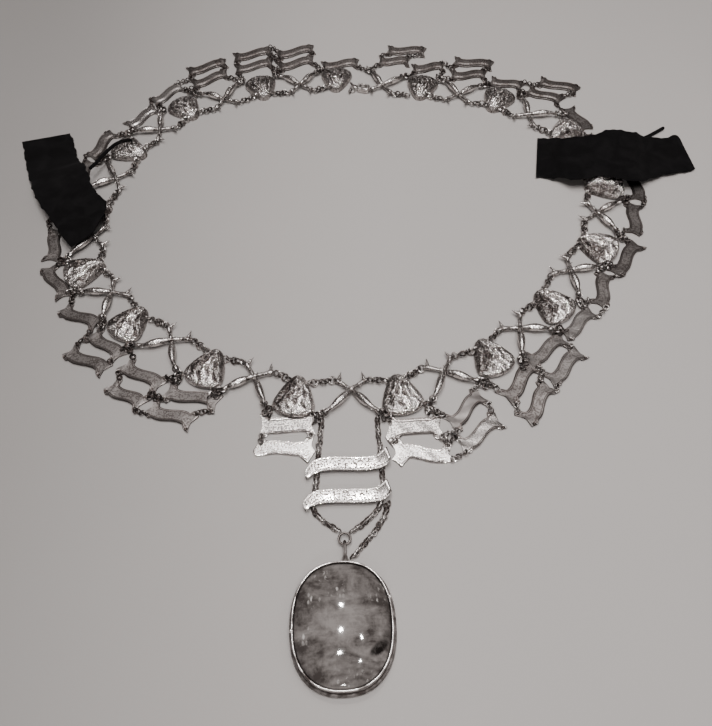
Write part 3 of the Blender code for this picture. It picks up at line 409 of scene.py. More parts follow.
def oriented_rings(middles, axes, first, radius, wire, around, sides, stretch, wear):
    """Tori: middle + (R + w cos b)(s cos a F + sin a S) + w sin b A, with F, S, A at right angles."""
    count = len(middles)
    a, b = full_turn(around)[None, :, None, None], full_turn(sides)[None, None, :, None]
    f, s, n, m = (v[:, None, None, :] for v in (first, np.cross(axes, first), axes, middles))
    outward = stretch * np.cos(a) * f + np.sin(a) * s
    points = m + (radius + wire * np.cos(b)) * outward + wire * np.sin(b) * n
    starts = np.arange(count) * around * sides
    quads = (grid_quads(around, sides, True, True) + starts[:, None, None]).reshape(-1, 4)
    own = 0.25 * np.sin(7.3 * np.arange(count))[:, None, None, None]
    dark = np.broadcast_to(wear + own + 0.4 * (0.5 - 0.5 * np.cos(b)), (count, around, sides, 1))
    no_uv = np.zeros((count * around * sides, 2))
    return Patch(points.reshape(-1, 3), quads, np.clip(dark, 0.0, 1.0).ravel(), no_uv)


def ring_string(start, end, radius, wire, rng, floor=0.3):
    """Interlocked rings from start to end, every second one on its edge, each a little out of line."""
    start, end = np.asarray(start, dtype=float), np.asarray(end, dtype=float)
    span = np.linalg.norm(end - start)
    count = max(1, round(span / (RING_OVERLAP * (radius - wire / 2.0))))
    middles = start + (end - start) * ((np.arange(count) + 0.5) / count)[:, None]
    aside = np.cross((0.0, 0.0, 1.0), (end - start) / max(span, 1e-6))
    upright = (np.arange(count) % 2)[:, None]
    axes = unit(np.where(upright, aside, (0.0, 0.0, 1.0)) + rng.normal(0.0, RING_UNREST, (count, 3)))
    tilt = np.sqrt(np.maximum(0.0, 1.0 - axes[:, 2] ** 2))
    middles[:, 2] = np.maximum(middles[:, 2], floor + wire + radius * tilt)
    return rings(middles, axes, radius, wire, around=11, sides=5)


def smooth_step(value, low, high):
    """0 below low and 1 above high, with s^2 (3 - 2 s) between at the share s of the way."""
    share = np.clip((value - low) / (high - low), 0.0, 1.0)
    return share * share * (3.0 - 2.0 * share)


def rounded(value, from_share):
    """1 inside, falling to 0 at the edge as a quarter circle that starts at from_share."""
    share = np.clip((np.abs(value) - from_share) / (1.0 - from_share), 0.0, 1.0)
    return np.sqrt(np.maximum(0.0, 1.0 - share ** 2))


def slab(middle, thickness, edge, wear=0.0, uv=None, lift=0.0):
    """A closed plate about a middle surface: both faces meet at the border, where edge is 0."""
    half = np.zeros_like(middle)
    half[..., 2] = thickness / 2.0 * edge
    top, bottom = middle + half, middle - half
    top[..., 2] += lift * (edge > 0.0)
    return [patch(top, wear, uv), patch(bottom[:, ::-1], wear=0.6)]


def hammer_field(x, y, scale, seed):
    """Grains of a beaten surface, about -1 to 1: a product of crossed waves bent by slower ones."""
    a, b = x / scale, y / scale
    bend = np.sin(0.9 * b + seed) + 0.7 * np.sin(0.6 * a - 1.3 * seed)
    bend_too = np.sin(0.8 * a - 2.0 * seed) + 0.7 * np.sin(0.7 * b + 0.7 * seed)
    return np.sin(2.1 * a + 1.3 * bend) * np.sin(2.3 * b + 1.4 * bend_too)


# ---------------------------------------------------------------- materials


class Socket:
    """A shader value or colour that takes part in Python expressions. Each one adds its Math node."""

    def __init__(self, tree, socket):
        self.tree, self.socket = tree, socket

    def _math(self, operation, *values):
        return self.tree.node("ShaderNodeMath", {"operation": operation}, dict(enumerate(values)))

    def __add__(self, other):
        return self._math("ADD", self, other)

    def __radd__(self, other):
        return self._math("ADD", other, self)

    def __sub__(self, other):
        return self._math("SUBTRACT", self, other)

    def __rsub__(self, other):
        return self._math("SUBTRACT", other, self)

    def __mul__(self, other):
        return self._math("MULTIPLY", self, other)

    def __rmul__(self, other):
        return self._math("MULTIPLY", other, self)

    def absolute(self):
        return self._math("ABSOLUTE", self)

    def clamped(self):
        """The value kept from 0 to 1."""
        return self._math("MINIMUM", self._math("MAXIMUM", self, 0.0), 1.0)

    def most(self, other):
        """The greater of two values."""
        return self._math("MAXIMUM", self, other)

    def sine(self):
        return self._math("SINE", self)

    def split(self):
        """The parts of a vector."""
        made = self.tree.nodes.new("ShaderNodeSeparateXYZ")
        self.tree.links.new(self.socket, made.inputs[0])
        return [Socket(self.tree, part) for part in made.outputs]

    def over(self, low, high):
        """0 below low and 1 above high, with a smooth step between. low may be above high."""
        if low > high:
            return 1.0 - self.over(high, low)
        settings = {"interpolation_type": "SMOOTHSTEP"}
        values = {"Value": self, "From Min": low, "From Max": high}
        return self.tree.node("ShaderNodeMapRange", settings, values)


class Finish:
    """A material's node tree round one Principled shader."""

    def __init__(self, name, **constants):
        self.material = bpy.data.materials.new(name)
        self.material.use_nodes = True
        self.nodes, self.links = self.material.node_tree.nodes, self.material.node_tree.links
        self.shader = self.nodes["Principled BSDF"]
        for socket, value in constants.items():
            self.shader.inputs[socket.replace("_", " ")].default_value = value

    def give(self, socket, value):
        """A link to that socket where the value is one, and otherwise its default."""
        if isinstance(value, Socket):
            self.links.new(value.socket, socket)
        else:
            socket.default_value = value

    def node(self, kind, settings=None, values=None, output=0):
        """A node of that kind with its settings made first, and its inputs given values or links."""
        made = self.nodes.new(kind)
        for key, value in (settings or {}).items():
            setattr(made, key, value)
        for key, value in (values or {}).items():
            self.give(made.inputs[key], value)
        return Socket(self, made.outputs[output])

    def place(self, turn=0.0, scale=None):
        """Object coordinates, turned about Z and scaled where a scale is given."""
        place = self.node("ShaderNodeTexCoord", output="Object")
        if scale is None:
            return place
        values = {"Vector": place, "Rotation": (0.0, 0.0, turn), "Scale": scale}
        return self.node("ShaderNodeMapping", None, values)

    def uv(self):
        """The piece's own UV as two values."""
        return self.node("ShaderNodeTexCoord", output="UV").split()[:2]

    def attribute(self, name):
        return self.node("ShaderNodeAttribute", {"attribute_name": name}, output="Fac")

    def noise(self, scale, detail=3.0, where=None, roughness=0.55, distortion=0.0):
        values = {"Vector": where or self.place(), "Scale": scale, "Detail": detail,
                  "Roughness": roughness, "Distortion": distortion}
        return self.node("ShaderNodeTexNoise", None, values)

    def cells(self, scale, where=None):
        values = {"Vector": where or self.place(), "Scale": scale}
        return self.node("ShaderNodeTexVoronoi", {"feature": "F1"}, values)

    def mix(self, share, first, second):
        """first where share is 0 and second where it is 1, as colours."""
        made = self.nodes.new("ShaderNodeMix")
        made.data_type = "RGBA"
        for key, value in ((0, share), (6, first), (7, second)):
            plain_colour = key > 0 and not isinstance(value, Socket)
            self.give(made.inputs[key], (*value[:3], 1.0) if plain_colour else value)
        return Socket(self, made.outputs[2])

    def feed(self, **sockets):
        """Links to the shader's sockets, by name with _ for a space."""
        for socket, value in sockets.items():
            self.links.new(value.socket, self.shader.inputs[socket.replace("_", " ")])

    def silver(self, dirt_and_shade, roughness):
        """Feeds bright silver where dirt_and_shade is 0 and the tarnish colour where it is 1, for tarnish and
        painted shade alike.
        """
        metal = bpy.context.scene.chain_metal
        metal_colour = self.mix(dirt_and_shade, metal.silver_colour, metal.tarnish_and_shade_colour)
        self.feed(Base_Color=metal_colour, Roughness=roughness.clamped())

    def bump(self, height, distance, strength=1.0):
        """Feeds a Bump node for that height, as deep as the distance in metres, to Normal."""
        values = {"Height": height, "Distance": distance, "Strength": strength}
        self.feed(Normal=self.node("ShaderNodeBump", None, values))


def cast_silver(name, grain=1150.0, depth=0.00036, roughness=0.17, tarnish=0.9, speckle=0.26, hollow=0.41):
    """Beaten silver: bright on its high points, dark in its hollows, and granulated."""
    finish = Finish(name, Metallic=1.0)
    grains = finish.cells(grain)
    crumple = finish.noise(480.0, 4.0, roughness=0.7)
    cloud = finish.noise(150.0, 3.0)
    specks = finish.noise(980.0, 2.0).over(0.50, 0.40)
    dirt_and_shade = (finish.attribute("wear") * (0.6 + 0.8 * cloud) * tarnish + 1.1 * (hollow - crumple)
            + speckle * specks + 0.20 * grains.over(0.45, 0.75)).clamped()
    finish.silver(dirt_and_shade, roughness + 0.22 * dirt_and_shade)
    finish.bump(1.6 * crumple - 0.7 * grains, depth)
    return finish.material


def polished_silver(name, roughness=0.16, stain=0.6, tarnish=0.0):
    """Smooth silver sheet and wire: faint scratches and a cloudy tarnish."""
    finish = Finish(name, Metallic=1.0)
    cloud = finish.noise(240.0, 4.0)
    scratch = finish.noise(1500.0, 4.0, roughness=0.7)
    dirt_and_shade = (finish.attribute("wear") + tarnish + stain * (cloud - 0.5)).clamped()
    finish.silver(dirt_and_shade, roughness + 0.25 * dirt_and_shade + 0.08 * scratch)
    finish.bump(scratch, 0.00006, 0.6)
    return finish.material


def engraved_silver(name, roughness=0.10, stipple=0.85, depth=0.00005, tarnish=0.0, lines=0.7):
    """Banner sheet: polished rims, two engraved lines inside each edge and a stippled ground between."""
    finish = Finish(name, Metallic=1.0)
    wear = finish.attribute("wear")
    along, across = finish.uv()
    from_middle = (2.0 * across - 1.0).absolute()
    band = (2.0 * along - 1.0).absolute().over(0.86, 0.78)
    inner_line = from_middle.over(0.60, 0.64) * from_middle.over(0.74, 0.70)
    outer_line = from_middle.over(0.80, 0.83) * from_middle.over(0.91, 0.88)
    engraved = inner_line.most(outer_line) * band
    ground = from_middle.over(0.66, 0.60) * band
    patches = finish.noise(420.0, 3.0)
    pits = finish.noise(1150.0, 0.0).over(0.50, 0.44) * (0.5 + 0.5 * ground) * patches.over(0.22, 0.42)
    pits = pits * (1.0 - 1.8 * wear).clamped()
    cloud = finish.noise(130.0, 4.0)
    dirt_and_shade = (wear + tarnish + lines * engraved + stipple * pits + 0.35 * (cloud - 0.4)).clamped()
    finish.silver(dirt_and_shade, roughness + 0.05 * ground + 0.30 * (dirt_and_shade - tarnish))
    finish.bump(1.0 * patches - 0.7 * engraved - 0.9 * pits, depth, 0.9)
    return finish.material


def clouded_stone(name):
    """Polished cabochon: brownish grey clouds drawn out sideways, low arcs, flecks and one dark inclusion."""
    look = bpy.context.scene.chain_stone
    finish = Finish(name, Roughness=0.05, IOR=1.54)
    clouds = finish.noise(75.0, 4.0, finish.place(0.5, (1.0, 1.5, 1.0)), roughness=0.6, distortion=0.5)
    wisps = finish.noise(230.0, 4.0, roughness=0.65, distortion=0.3)
    strokes = finish.noise(330.0, 3.0, finish.place(-0.6, (0.3, 2.4, 1.0)), roughness=0.6)
    low = finish.attribute("layers")
    arc = (finish.attribute("arcs") * 2.2 + 7.0 * clouds).sine()
    # The pale middle is partly the stone's paler cloud and partly a painted reflection of the overhead light.
    light = (2.4 * (clouds - 0.5) + 1.3 * (wisps - 0.5) + 0.35 * (strokes - 0.5)
             + 0.44 * finish.attribute("middle") - 0.30 * finish.attribute("edge")
             + 0.02 * low + 0.06 * arc * low + 0.37)
    body = finish.mix(light.clamped(), look.dark_colour, look.light_colour)
    dark = (finish.attribute("inclusion") * (0.1 + 1.8 * wisps)).over(0.35, 1.05)
    veined = finish.mix(dark, body, look.inclusion_colour)
    specks = finish.cells(560.0, finish.place(0.45, (1.0, 0.5, 1.0))).over(0.42, 0.20)
    specks = specks * finish.attribute("flecks") * wisps.over(0.46, 0.56)
    finish.feed(Base_Color=finish.mix(specks.clamped(), veined, look.fleck_colour))
    finish.bump(clouds, 0.0002, 0.15)
    return finish.material


def velvet(name):
    """Black silk pile that drinks light, with a slight bloom where it is bent."""
    look = bpy.context.scene.chain_velvet
    finish = Finish(name, Sheen_Weight=0.12, Sheen_Roughness=0.35, Sheen_Tint=(0.5, 0.48, 0.5, 1.0),
                    Specular_IOR_Level=0.1)
    pile = finish.noise(2200.0, 2.0)
    nap = finish.noise(90.0, 4.0, distortion=0.8)
    finish.feed(Base_Color=finish.mix(nap.over(0.35, 0.75), look.pile_colour, look.nap_colour),
                Roughness=(0.86 + 0.12 * pile).clamped())
    finish.bump(pile + 0.8 * nap, 0.0003, 0.6)
    return finish.material


CLOTH_SHADE = 0.61             # how bright the cloth is in the shade on the left, as a share


def table_cloth(name):
    """Plain pale cloth that falls off into shade on the left."""
    look = bpy.context.scene.chain_stage
    finish = Finish(name, Roughness=0.95, Specular_IOR_Level=0.1)
    cloud = finish.noise(9.0, 3.0)
    weave = finish.noise(1100.0, 2.0)
    # Painted shade: the cloth darkens towards the left, down to CLOTH_SHADE of its colour.
    painted_light_share = finish.place().split()[0].over(-0.27, 0.03)
    shade = tuple(CLOTH_SHADE * value for value in look.cloth_colour)
    bright = (0.88 * painted_light_share + 0.10 * cloud + 0.08 * weave).clamped()
    finish.feed(Base_Color=finish.mix(bright, shade, look.cloth_colour))
    finish.bump(weave, 0.0002, 0.25)
    return finish.material


# ---------------------------------------------------------------- the links

SHELL_OUTLINE = (              # from the apex down the right side, x y
    (0.0, 14.0), (2.5, 13.4), (4.6, 11.4), (6.5, 8.4), (8.6, 4.6), (10.4, 0.4), (11.7, -3.6), (11.5, -6.6),
    (9.7, -9.2), (6.4, -11.2), (2.6, -12.1), (0.0, -12.3),
)
OUTLINE_STEPS = 3000           # of the fine curve that the outline is read from
SHELL_MIDDLE = np.array((0.0, -1.0))
SHELL_FOOT = 0.35
SHELL_RISE = (                 # y and rise along the middle line
    (-12.4, 1.9), (-8.3, 4.1), (-2.9, 5.7), (3.0, 6.5), (6.5, 6.3), (9.6, 5.6), (12.0, 4.7), (14.0, 4.0),
)
FAN_ORIGIN = 17.0              # the lobes spread from this point on the y axis
FAN_HALF_ANGLE = 0.50
GROOVES = (-0.66, -0.22, 0.24, 0.66)    # as shares of that angle
GROOVE_WIDTH = 0.12
GROOVE_DEPTH = 1.6
GRAIN_DEPTH = 0.30
GRAIN_SIZE = (0.95, 0.55)      # of the coarse dents and the fine ones
SLIT_HALF_WIDTH = 0.35         # of the slit in the middle of the lower rim
SLIT_DEPTH = 0.6
APEX_ROUND = (12.2, 1.8)       # where the apex begins to round over, and over what length
FOOT_ROUND = (12.3, 0.9)       # the same from the lower rim up
# A painted highlight: the spot below the apex that painted-shade shells keep bright.
PAINTED_HIGHLIGHT_SPOT = (7.0, 3.2, 4.5)  # y of its middle, half width and half length
# How a shell differs from the plain one: how much painted shade darkens it all over, how much wider the
# painted shade on its flank is towards -x, how much painted light brightens its face, and how much higher its
# +x side.
# All are shares.
Tone = namedtuple("Tone", "shaded lean shine skew", defaults=(0.0, 0.0, 0.0, 0.0))
SHELL_TONES = {
    1: Tone(shine=0.15, lean=-0.08), 3: Tone(shine=0.3, skew=0.25), 4: Tone(shine=0.45, skew=0.4),
    5: Tone(shine=0.45, skew=0.4), 6: Tone(shine=0.4, skew=0.4), 7: Tone(0.8), 8: Tone(0.9), 9: Tone(0.9),
    10: Tone(0.8), 11: Tone(0.7), 12: Tone(0.5), 13: Tone(lean=0.1, shine=0.3),
    14: Tone(lean=0.20, shine=0.15), 15: Tone(lean=0.20, shine=0.25), 16: Tone(lean=0.16, shine=0.15),
    17: Tone(shine=0.15),
}


def shell_outline(count):
    """Closed outline through SHELL_OUTLINE and its mirror image, evenly spaced from the apex."""
    right = np.array(SHELL_OUTLINE)
    left = right[1:-1][::-1] * (-1.0, 1.0)
    ring = np.concatenate([right, left])
    lead = len(left) // 2
    line = smooth_flat_line(np.concatenate([ring[-lead:], ring, ring[:lead]]), OUTLINE_STEPS)
    from_apex = np.linalg.norm(line - ring[0], axis=1)
    half = OUTLINE_STEPS // 2
    start, end = np.argmin(from_apex[:half]), half + np.argmin(from_apex[half:])
    part = line[start:end + 1]
    run = run_along(part)
    return read_line(np.linspace(0.0, run[-1], count, endpoint=False), run, part)


def shell_half_width(y):
    """Half width of the outline at a height y, read from its right side."""
    side = shell_outline(400)[:201]
    side = side[np.argsort(side[:, 1])]
    return np.interp(y, side[:, 1], side[:, 0])


def shell_height(x, y, share, seed, tone):
    """Height and darkening. A ridge that rises as SHELL_RISE along the middle, times the section
    (1 - s^2.1)^0.5 across it, where s is x over the half width. It is cut by V grooves that fan from the apex
    and beaten all over. The darkening is tarnish in the grooves and slit and painted shade on the flanks and
    apex.
    A painted-shade shell is darkened all over but for a painted highlight spot below the apex. On some
    shells, painted light brightens the face.
    """
    s = np.abs(x) / np.maximum(shell_half_width(y), 0.5)
    crest = np.interp(y, *smooth_flat_line(SHELL_RISE, 300).T)
    apex = np.sqrt(np.maximum(0.0, 1.0 - np.clip((y - APEX_ROUND[0]) / APEX_ROUND[1], 0.0, 1.0) ** 2))
    foot = np.sqrt(np.clip((FOOT_ROUND[0] + y) / FOOT_ROUND[1], 0.0, 1.0))
    section = np.sqrt(np.maximum(0.0, 1.0 - s ** 2.1))
    bend = 0.10 * np.sin(0.42 * y + seed) + 0.05 * np.sin(1.1 * y - 2.0 * seed + 0.4 * x)
    fan = np.arctan2(x, FAN_ORIGIN - y) / FAN_HALF_ANGLE + bend
    reach = np.clip((13.0 - y) / 6.0, 0.2, 1.0) * np.clip((y + 12.0) / 5.0, 0.35, 1.0)
    grooves = [at + 0.05 * np.sin(3.0 * at + seed) for at in GROOVES]
    groove = sum(np.exp(-np.abs((fan - at) / GROOVE_WIDTH) ** 1.8) for at in grooves)
    groove = groove * reach * (s < 0.93) * (0.75 + 0.25 * np.sin(0.8 * y + 5.0 * fan + seed))
    coarse, fine = GRAIN_SIZE
    dents = 0.6 * hammer_field(x, y, coarse, seed) + 0.4 * hammer_field(y, x, fine, seed + 2.0)
    slit = np.exp(-(x / SLIT_HALF_WIDTH) ** 2) * np.clip(-8.6 - y, 0.0, 1.0)
    rise = crest * apex * foot * section * (1.0 + tone.skew * x / 10.0)
    beaten = GRAIN_DEPTH * dents * (share < 0.95)
    z = SHELL_FOOT + rise - GROOVE_DEPTH * groove * section + beaten - SLIT_DEPTH * slit
    # Painted shade on the flanks and apex, and over painted-shade shells but for their painted highlight
    # spot.
    near_flank = 0.95 * smooth_step(-fan, 0.16 - tone.lean, 0.40 - tone.lean)
    far_flank = (0.5 + 1.5 * tone.lean) * smooth_step(fan, 0.62 - 0.6 * tone.lean, 0.85 - 0.6 * tone.lean)
    flank_shade = (near_flank + far_flank) * smooth_step(y, -10.5, -3.0)
    apex_shade = smooth_step(y, 7.0, 10.5)
    at, half_width, half_length = PAINTED_HIGHLIGHT_SPOT
    highlight_spot = np.exp(-(x / half_width) ** 2 - ((y - at) / half_length) ** 2)
    wear = groove + 0.9 * slit + 0.1 * (dents < -0.3) + (flank_shade + 0.35 * apex_shade) * (1.0 - tone.shaded)
    wear = wear * (1.0 - 0.5 * tone.shaded) + tone.shaded * (0.78 - 1.5 * highlight_spot)
    wear = np.clip(wear, 0.0, 1.0)
    # Painted light: a darkening below 0 brightens the face.
    return np.maximum(z, SHELL_FOOT), wear - tone.shine * (1.0 - wear)


def shell_patches(seed, tone):
    """Rings from the middle to the outline over the dome, down the rim's wall and back under it."""
    outline = shell_outline(144)
    top_share = np.concatenate([np.linspace(0.0, 0.86, 36), np.linspace(0.88, 1.0, 11)])
    share = np.concatenate([top_share, (1.0, 0.985, 0.9, 0.0)])[:, None]
    x, y = np.moveaxis(SHELL_MIDDLE + share[..., None] * (outline - SHELL_MIDDLE), -1, 0)
    z, dark = shell_height(x, y, share, seed, tone)
    under = len(top_share)
    # Painted shade: the low wall under the rim and the underside are darkened, a shadow line under the edge.
    z[under:], dark[under:] = np.array((0.3, 0.0, 0.0, 0.0))[:, None], 0.7
    tilt = math.radians(SHELL_TILT)
    skin = np.stack([x, y * math.cos(tilt) + z * math.sin(tilt),
                     (SHELL_LENGTH / 2.0 - y) * math.sin(tilt) + z * math.cos(tilt)], axis=-1)
    return [patch(skin, dark, close_columns=True)]


TWIG_LINE = (                  # x y z radius, for the half span CROSS_HALF_SPAN
    (9.6, 12.4, 2.4, 0.9), (8.6, 11.9, 2.6, 1.2), (7.2, 11.0, 2.8, 1.5), (5.2, 9.6, 2.9, 1.15),
    (2.4, 7.2, 3.2, 1.15), (-0.4, 4.8, 3.4, 1.25), (-2.4, 2.8, 3.7, 1.55), (-4.4, 0.8, 4.0, 2.15),
    (-6.6, -1.6, 4.1, 2.4), (-8.6, -3.7, 4.0, 2.0), (-10.4, -5.4, 3.9, 1.3), (-12.2, -6.8, 3.6, 1.05),
    (-13.6, -7.9, 3.4, 1.15), (-14.6, -8.6, 3.2, 0.8),
)
BUD_PLACE = -6.6               # x of the bud's middle
TWIG_THORNS = (                # foot x y z, tip x y z, radius at the foot
    ((7.4, 11.2, 2.8), (5.7, 16.6, 3.6), 1.25),
    ((4.0, 8.6, 3.0), (5.4, 6.6, 3.6), 0.55),
    ((1.6, 6.6, 3.2), (0.6, 8.4, 3.8), 0.5),
    ((-11.4, -6.2, 3.7), (-10.6, -8.2, 3.8), 0.55),
    ((9.0, 12.2, 2.5), (9.8, 13.8, 2.9), 0.5),
)
THORN_TAPER = np.array((1.15, 0.95, 0.7, 0.42, 0.12))
INNER_RINGS = ((9.6, 12.4, 2.2), (24.0, 10.6, 1.9))        # where a twig's strings of rings start and end
OUTER_RINGS = ((-13.0, -7.8, 3.4), (-19.0, -10.8, 2.6))
INNER_RING = (1.9, 0.58)       # ring radius and wire
OUTER_RING = (1.85, 0.56)
KNOT_RUN = 38.0                # radians of the knotty swelling from end to end
STRETCHED_FROM = -11.0         # past this x a twig is drawn out to the length of its span
CLUSTER = (                    # start and end from the last outer ring, ring radius, wire and floor
    ((1.2, 2.4, 0.0), (2.6, -2.8, -0.8), 1.6, 0.48, 1.0),
    ((0.0, -0.6, -0.4), (-1.4, -4.2, -1.0), 1.5, 0.45, 0.3),
)


def cross_patches(half_span, beside_clasp, seed):
    """Two mirrored twigs, one arched over the other, with fluted buds, thorns and strings of jump rings."""
    rng = np.random.default_rng(seed)
    stretch = half_span - CROSS_HALF_SPAN
    parts = []
    for side, lift in ((1.0, 0.5), (-1.0, -0.5)):
        mirror = np.array((side, 1.0, 1.0))
        line = smooth_line(TWIG_LINE, 72)
        knots = np.sin(KNOT_RUN * np.linspace(0.0, 1.0, len(line)) + seed)
        line[:, 0] -= stretch * np.clip((STRETCHED_FROM - line[:, 0]) / 3.0, 0.0, 1.0)
        line[:, 2] += lift * np.exp(-(line[:, 0] / 4.0) ** 2)
        from_bud = line[:, 0] - BUD_PLACE
        radii = line[:, 3] * (1.0 + 0.10 * knots * (np.abs(from_bud) > 3.6))
        bud = np.exp(-(from_bud / 2.6) ** 2)
        dark = (0.50 + 0.25 * (knots < -0.4)) * (1.0 - bud)
        parts.append(tube(line[:, :3] * mirror, radii, 18, 0.20 * bud, dark[:, None]))
        for foot, tip, radius in TWIG_THORNS:
            spike = np.linspace(foot * mirror, tip * mirror, len(THORN_TAPER))
            spike[:, 2] += lift * math.exp(-(foot[0] / 4.0) ** 2)
            parts.append(tube(spike, radius * THORN_TAPER, 7, wear=0.45))
        if not (beside_clasp and side > 0.0):
            ends = INNER_RINGS * mirror
            ends[1, 0] += side * stretch
            parts.append(ring_string(*ends, *INNER_RING, rng))
        start, end = OUTER_RINGS * mirror - (side * stretch, 0.0, 0.0)
        parts.append(ring_string(start, end, *OUTER_RING, rng, floor=1.2))
        for first, last, radius, wire, floor in CLUSTER:
            parts.append(ring_string(end + first * mirror, end + last * mirror, radius, wire, rng, floor))
    return parts


def outer_ring_ends():
    """Where every cross's strings of rings end by the shells' corners, as points in the maker's frame."""
    ends = []
    for name, half_span in HALF_SPANS.items():
        for side in (1.0, -1.0):
            spot = OUTER_RINGS[1] * np.array((side, 1.0, 1.0))
            spot[0] -= side * (half_span - CROSS_HALF_SPAN)
            ends.append(FRAMES[name + "_turned"].carry(spot[None])[0])
    return np.array(ends)


CLASP_SPOT = (14.0, 11.2)
CLASP_SIZE = (9.6, 6.8)
CLASP_POWER = 5.0
CLASP_PROFILE = (              # share of the outline, height and darkening, from the underside to the top
    (0.0, 0.1, 0.6), (0.86, 0.1, 0.6), (0.97, 0.4, 0.5), (1.0, 0.9, 0.4), (1.0, 1.9, 0.5),
    (0.965, 2.0, 0.9), (0.965, 2.25, 0.9), (1.0, 2.35, 0.5), (1.0, 3.2, 0.3), (0.95, 3.8, 0.35),
    (0.86, 4.1, 0.4), (0.6, 4.16, 0.5), (0.55, 4.0, 0.9), (0.0, 4.05, 0.5),
)
CLASP_EYE = (4.2, 0.0, 2.1)    # where its rings begin, from its own spot
CLASP_RINGS = (                # start and end from there, ring radius and wire
    ((0.0, 0.0, 0.0), (6.4, -1.6, 0.0), 2.2, 0.55),
    ((3.0, 2.2, 0.0), (5.0, 7.0, 0.0), 1.9, 0.5),
)


def clasp_patches(seed):
    """Plain box clasp: a superellipse outline swept up over a rounded top, its tongue slot and its rings."""
    x, y = superellipse(full_turn(48), CLASP_POWER)
    share, z, dark = np.array(CLASP_PROFILE).T[:, :, None]
    x = CLASP_SPOT[0] + CLASP_SIZE[0] / 2.0 * share * x
    y = CLASP_SPOT[1] + CLASP_SIZE[1] / 2.0 * share * y
    skin = np.stack([x, y, z + 0.0 * x], axis=-1)
    rng = np.random.default_rng(seed)
    eye = np.array((*CLASP_SPOT, 0.0)) + CLASP_EYE
    strings = [ring_string(eye + start, eye + end, radius, wire, rng)
               for start, end, radius, wire in CLASP_RINGS]
    return [patch(skin, dark, close_columns=True), *strings]


# ---------------------------------------------------------------- the banners

BANNER_HALF_WIDTH = 4.1
BANNER_WAVE = 2.0
FRONT_WAVE = 0.5               # the first row beside the centre drop is nearly straight
SECOND_FRONT_WAVE = -1.3       # and the second one waves the other way
FRONT_LINKS = ("shell_17", "shell_01")
LEAF_ENDED = ("shell_17", 2)   # link and row of the banner whose far end is a leaf, not a fishtail
LEAF_TIP = 2.4
BACK_LINKS = [f"{kind}_{number:02d}" for number in range(7, 13) for kind in ("cross", "shell")]
# Partly tarnish and partly painted shade and painted light: back banners are darkened, and below 0
# brightened.
OWN_TARNISH_AND_SHADE = {                # by link and row: how much darker, or below 0 brighter, it is than its sheet
    **{(link, row): 0.10 for link in BACK_LINKS for row in (1, 2)},
    ("shell_11", 1): -0.20, ("cross_12", 1): -0.60, ("shell_12", 1): 0.0,
    ("shell_17", 1): 0.20, ("shell_17", 2): -0.35, ("shell_01", 1): 0.24, ("shell_01", 2): -0.35,
    ("cross_02", 1): 0.74, ("cross_02", 2): 0.36, ("shell_02", 1): 0.05,
    ("cross_03", 1): -0.05, ("cross_03", 2): -0.10, ("shell_03", 1): -0.25,
}
BANNER_THICKNESS = 0.8
BANNER_CANT = 0.7              # how much higher its outer edge is than its inner one
FRONT_CANT = 0.12              # the same beside the centre drop
BACK_FOLD = 0.48               # how far the outer part is raised above the inner one at the back
UPPER_MARGIN = 1.9             # how much wider the first row beside the centre drop is towards the shells
# The front groups' brighter sheet and the others' darker one are partly painted light and painted shade.
FRONT_GROUPS = 2               # the first groups, of brighter sheet than the others
BRIGHT_RING_GROUPS = 4         # the first groups, whose rings aren't tarnished
INNER_EAR = 3.0                # how far a corner stands out beyond the band towards the other row
UPPER_EAR = 2.8                # towards the shells
OUTER_EAR = 1.4                # and on the outer side
EAR_STARTS, EAR_FULL = 0.60, 0.74
FISHTAIL = 2.0
SPIKE_LENGTH = 5.2
SPIKE_AT = 0.69                # its place and half width, as shares of half the banner's length
SPIKE_HALF_WIDTH = 0.30
HORN_LENGTH = 2.6              # how far a spiked banner's other outer corner is drawn out
HOLE_DEPTH = 0.6
HOLE_ALONG = HOLE_ACROSS = 0.86    # the ring holes' places, as shares of half the length and half the width
HOLE_RADIUS = 0.8
NEIGHBOUR_RING = (1.5, 0.4)    # ring radius and wire
ROW_RING = (1.4, 0.42)
HANGING_RING = (1.6, 0.45)
NEIGHBOUR_GAP = 12.0           # rings join corners of neighbours that are nearer than this
CROSS_GAP = 14.0               # and upper corners to a cross's rings that are nearer than this
ROW_PITCH = {link: rows[1][1] - rows[0][1] for link, rows in BANNER_LAY.items() if len(rows) == 2}


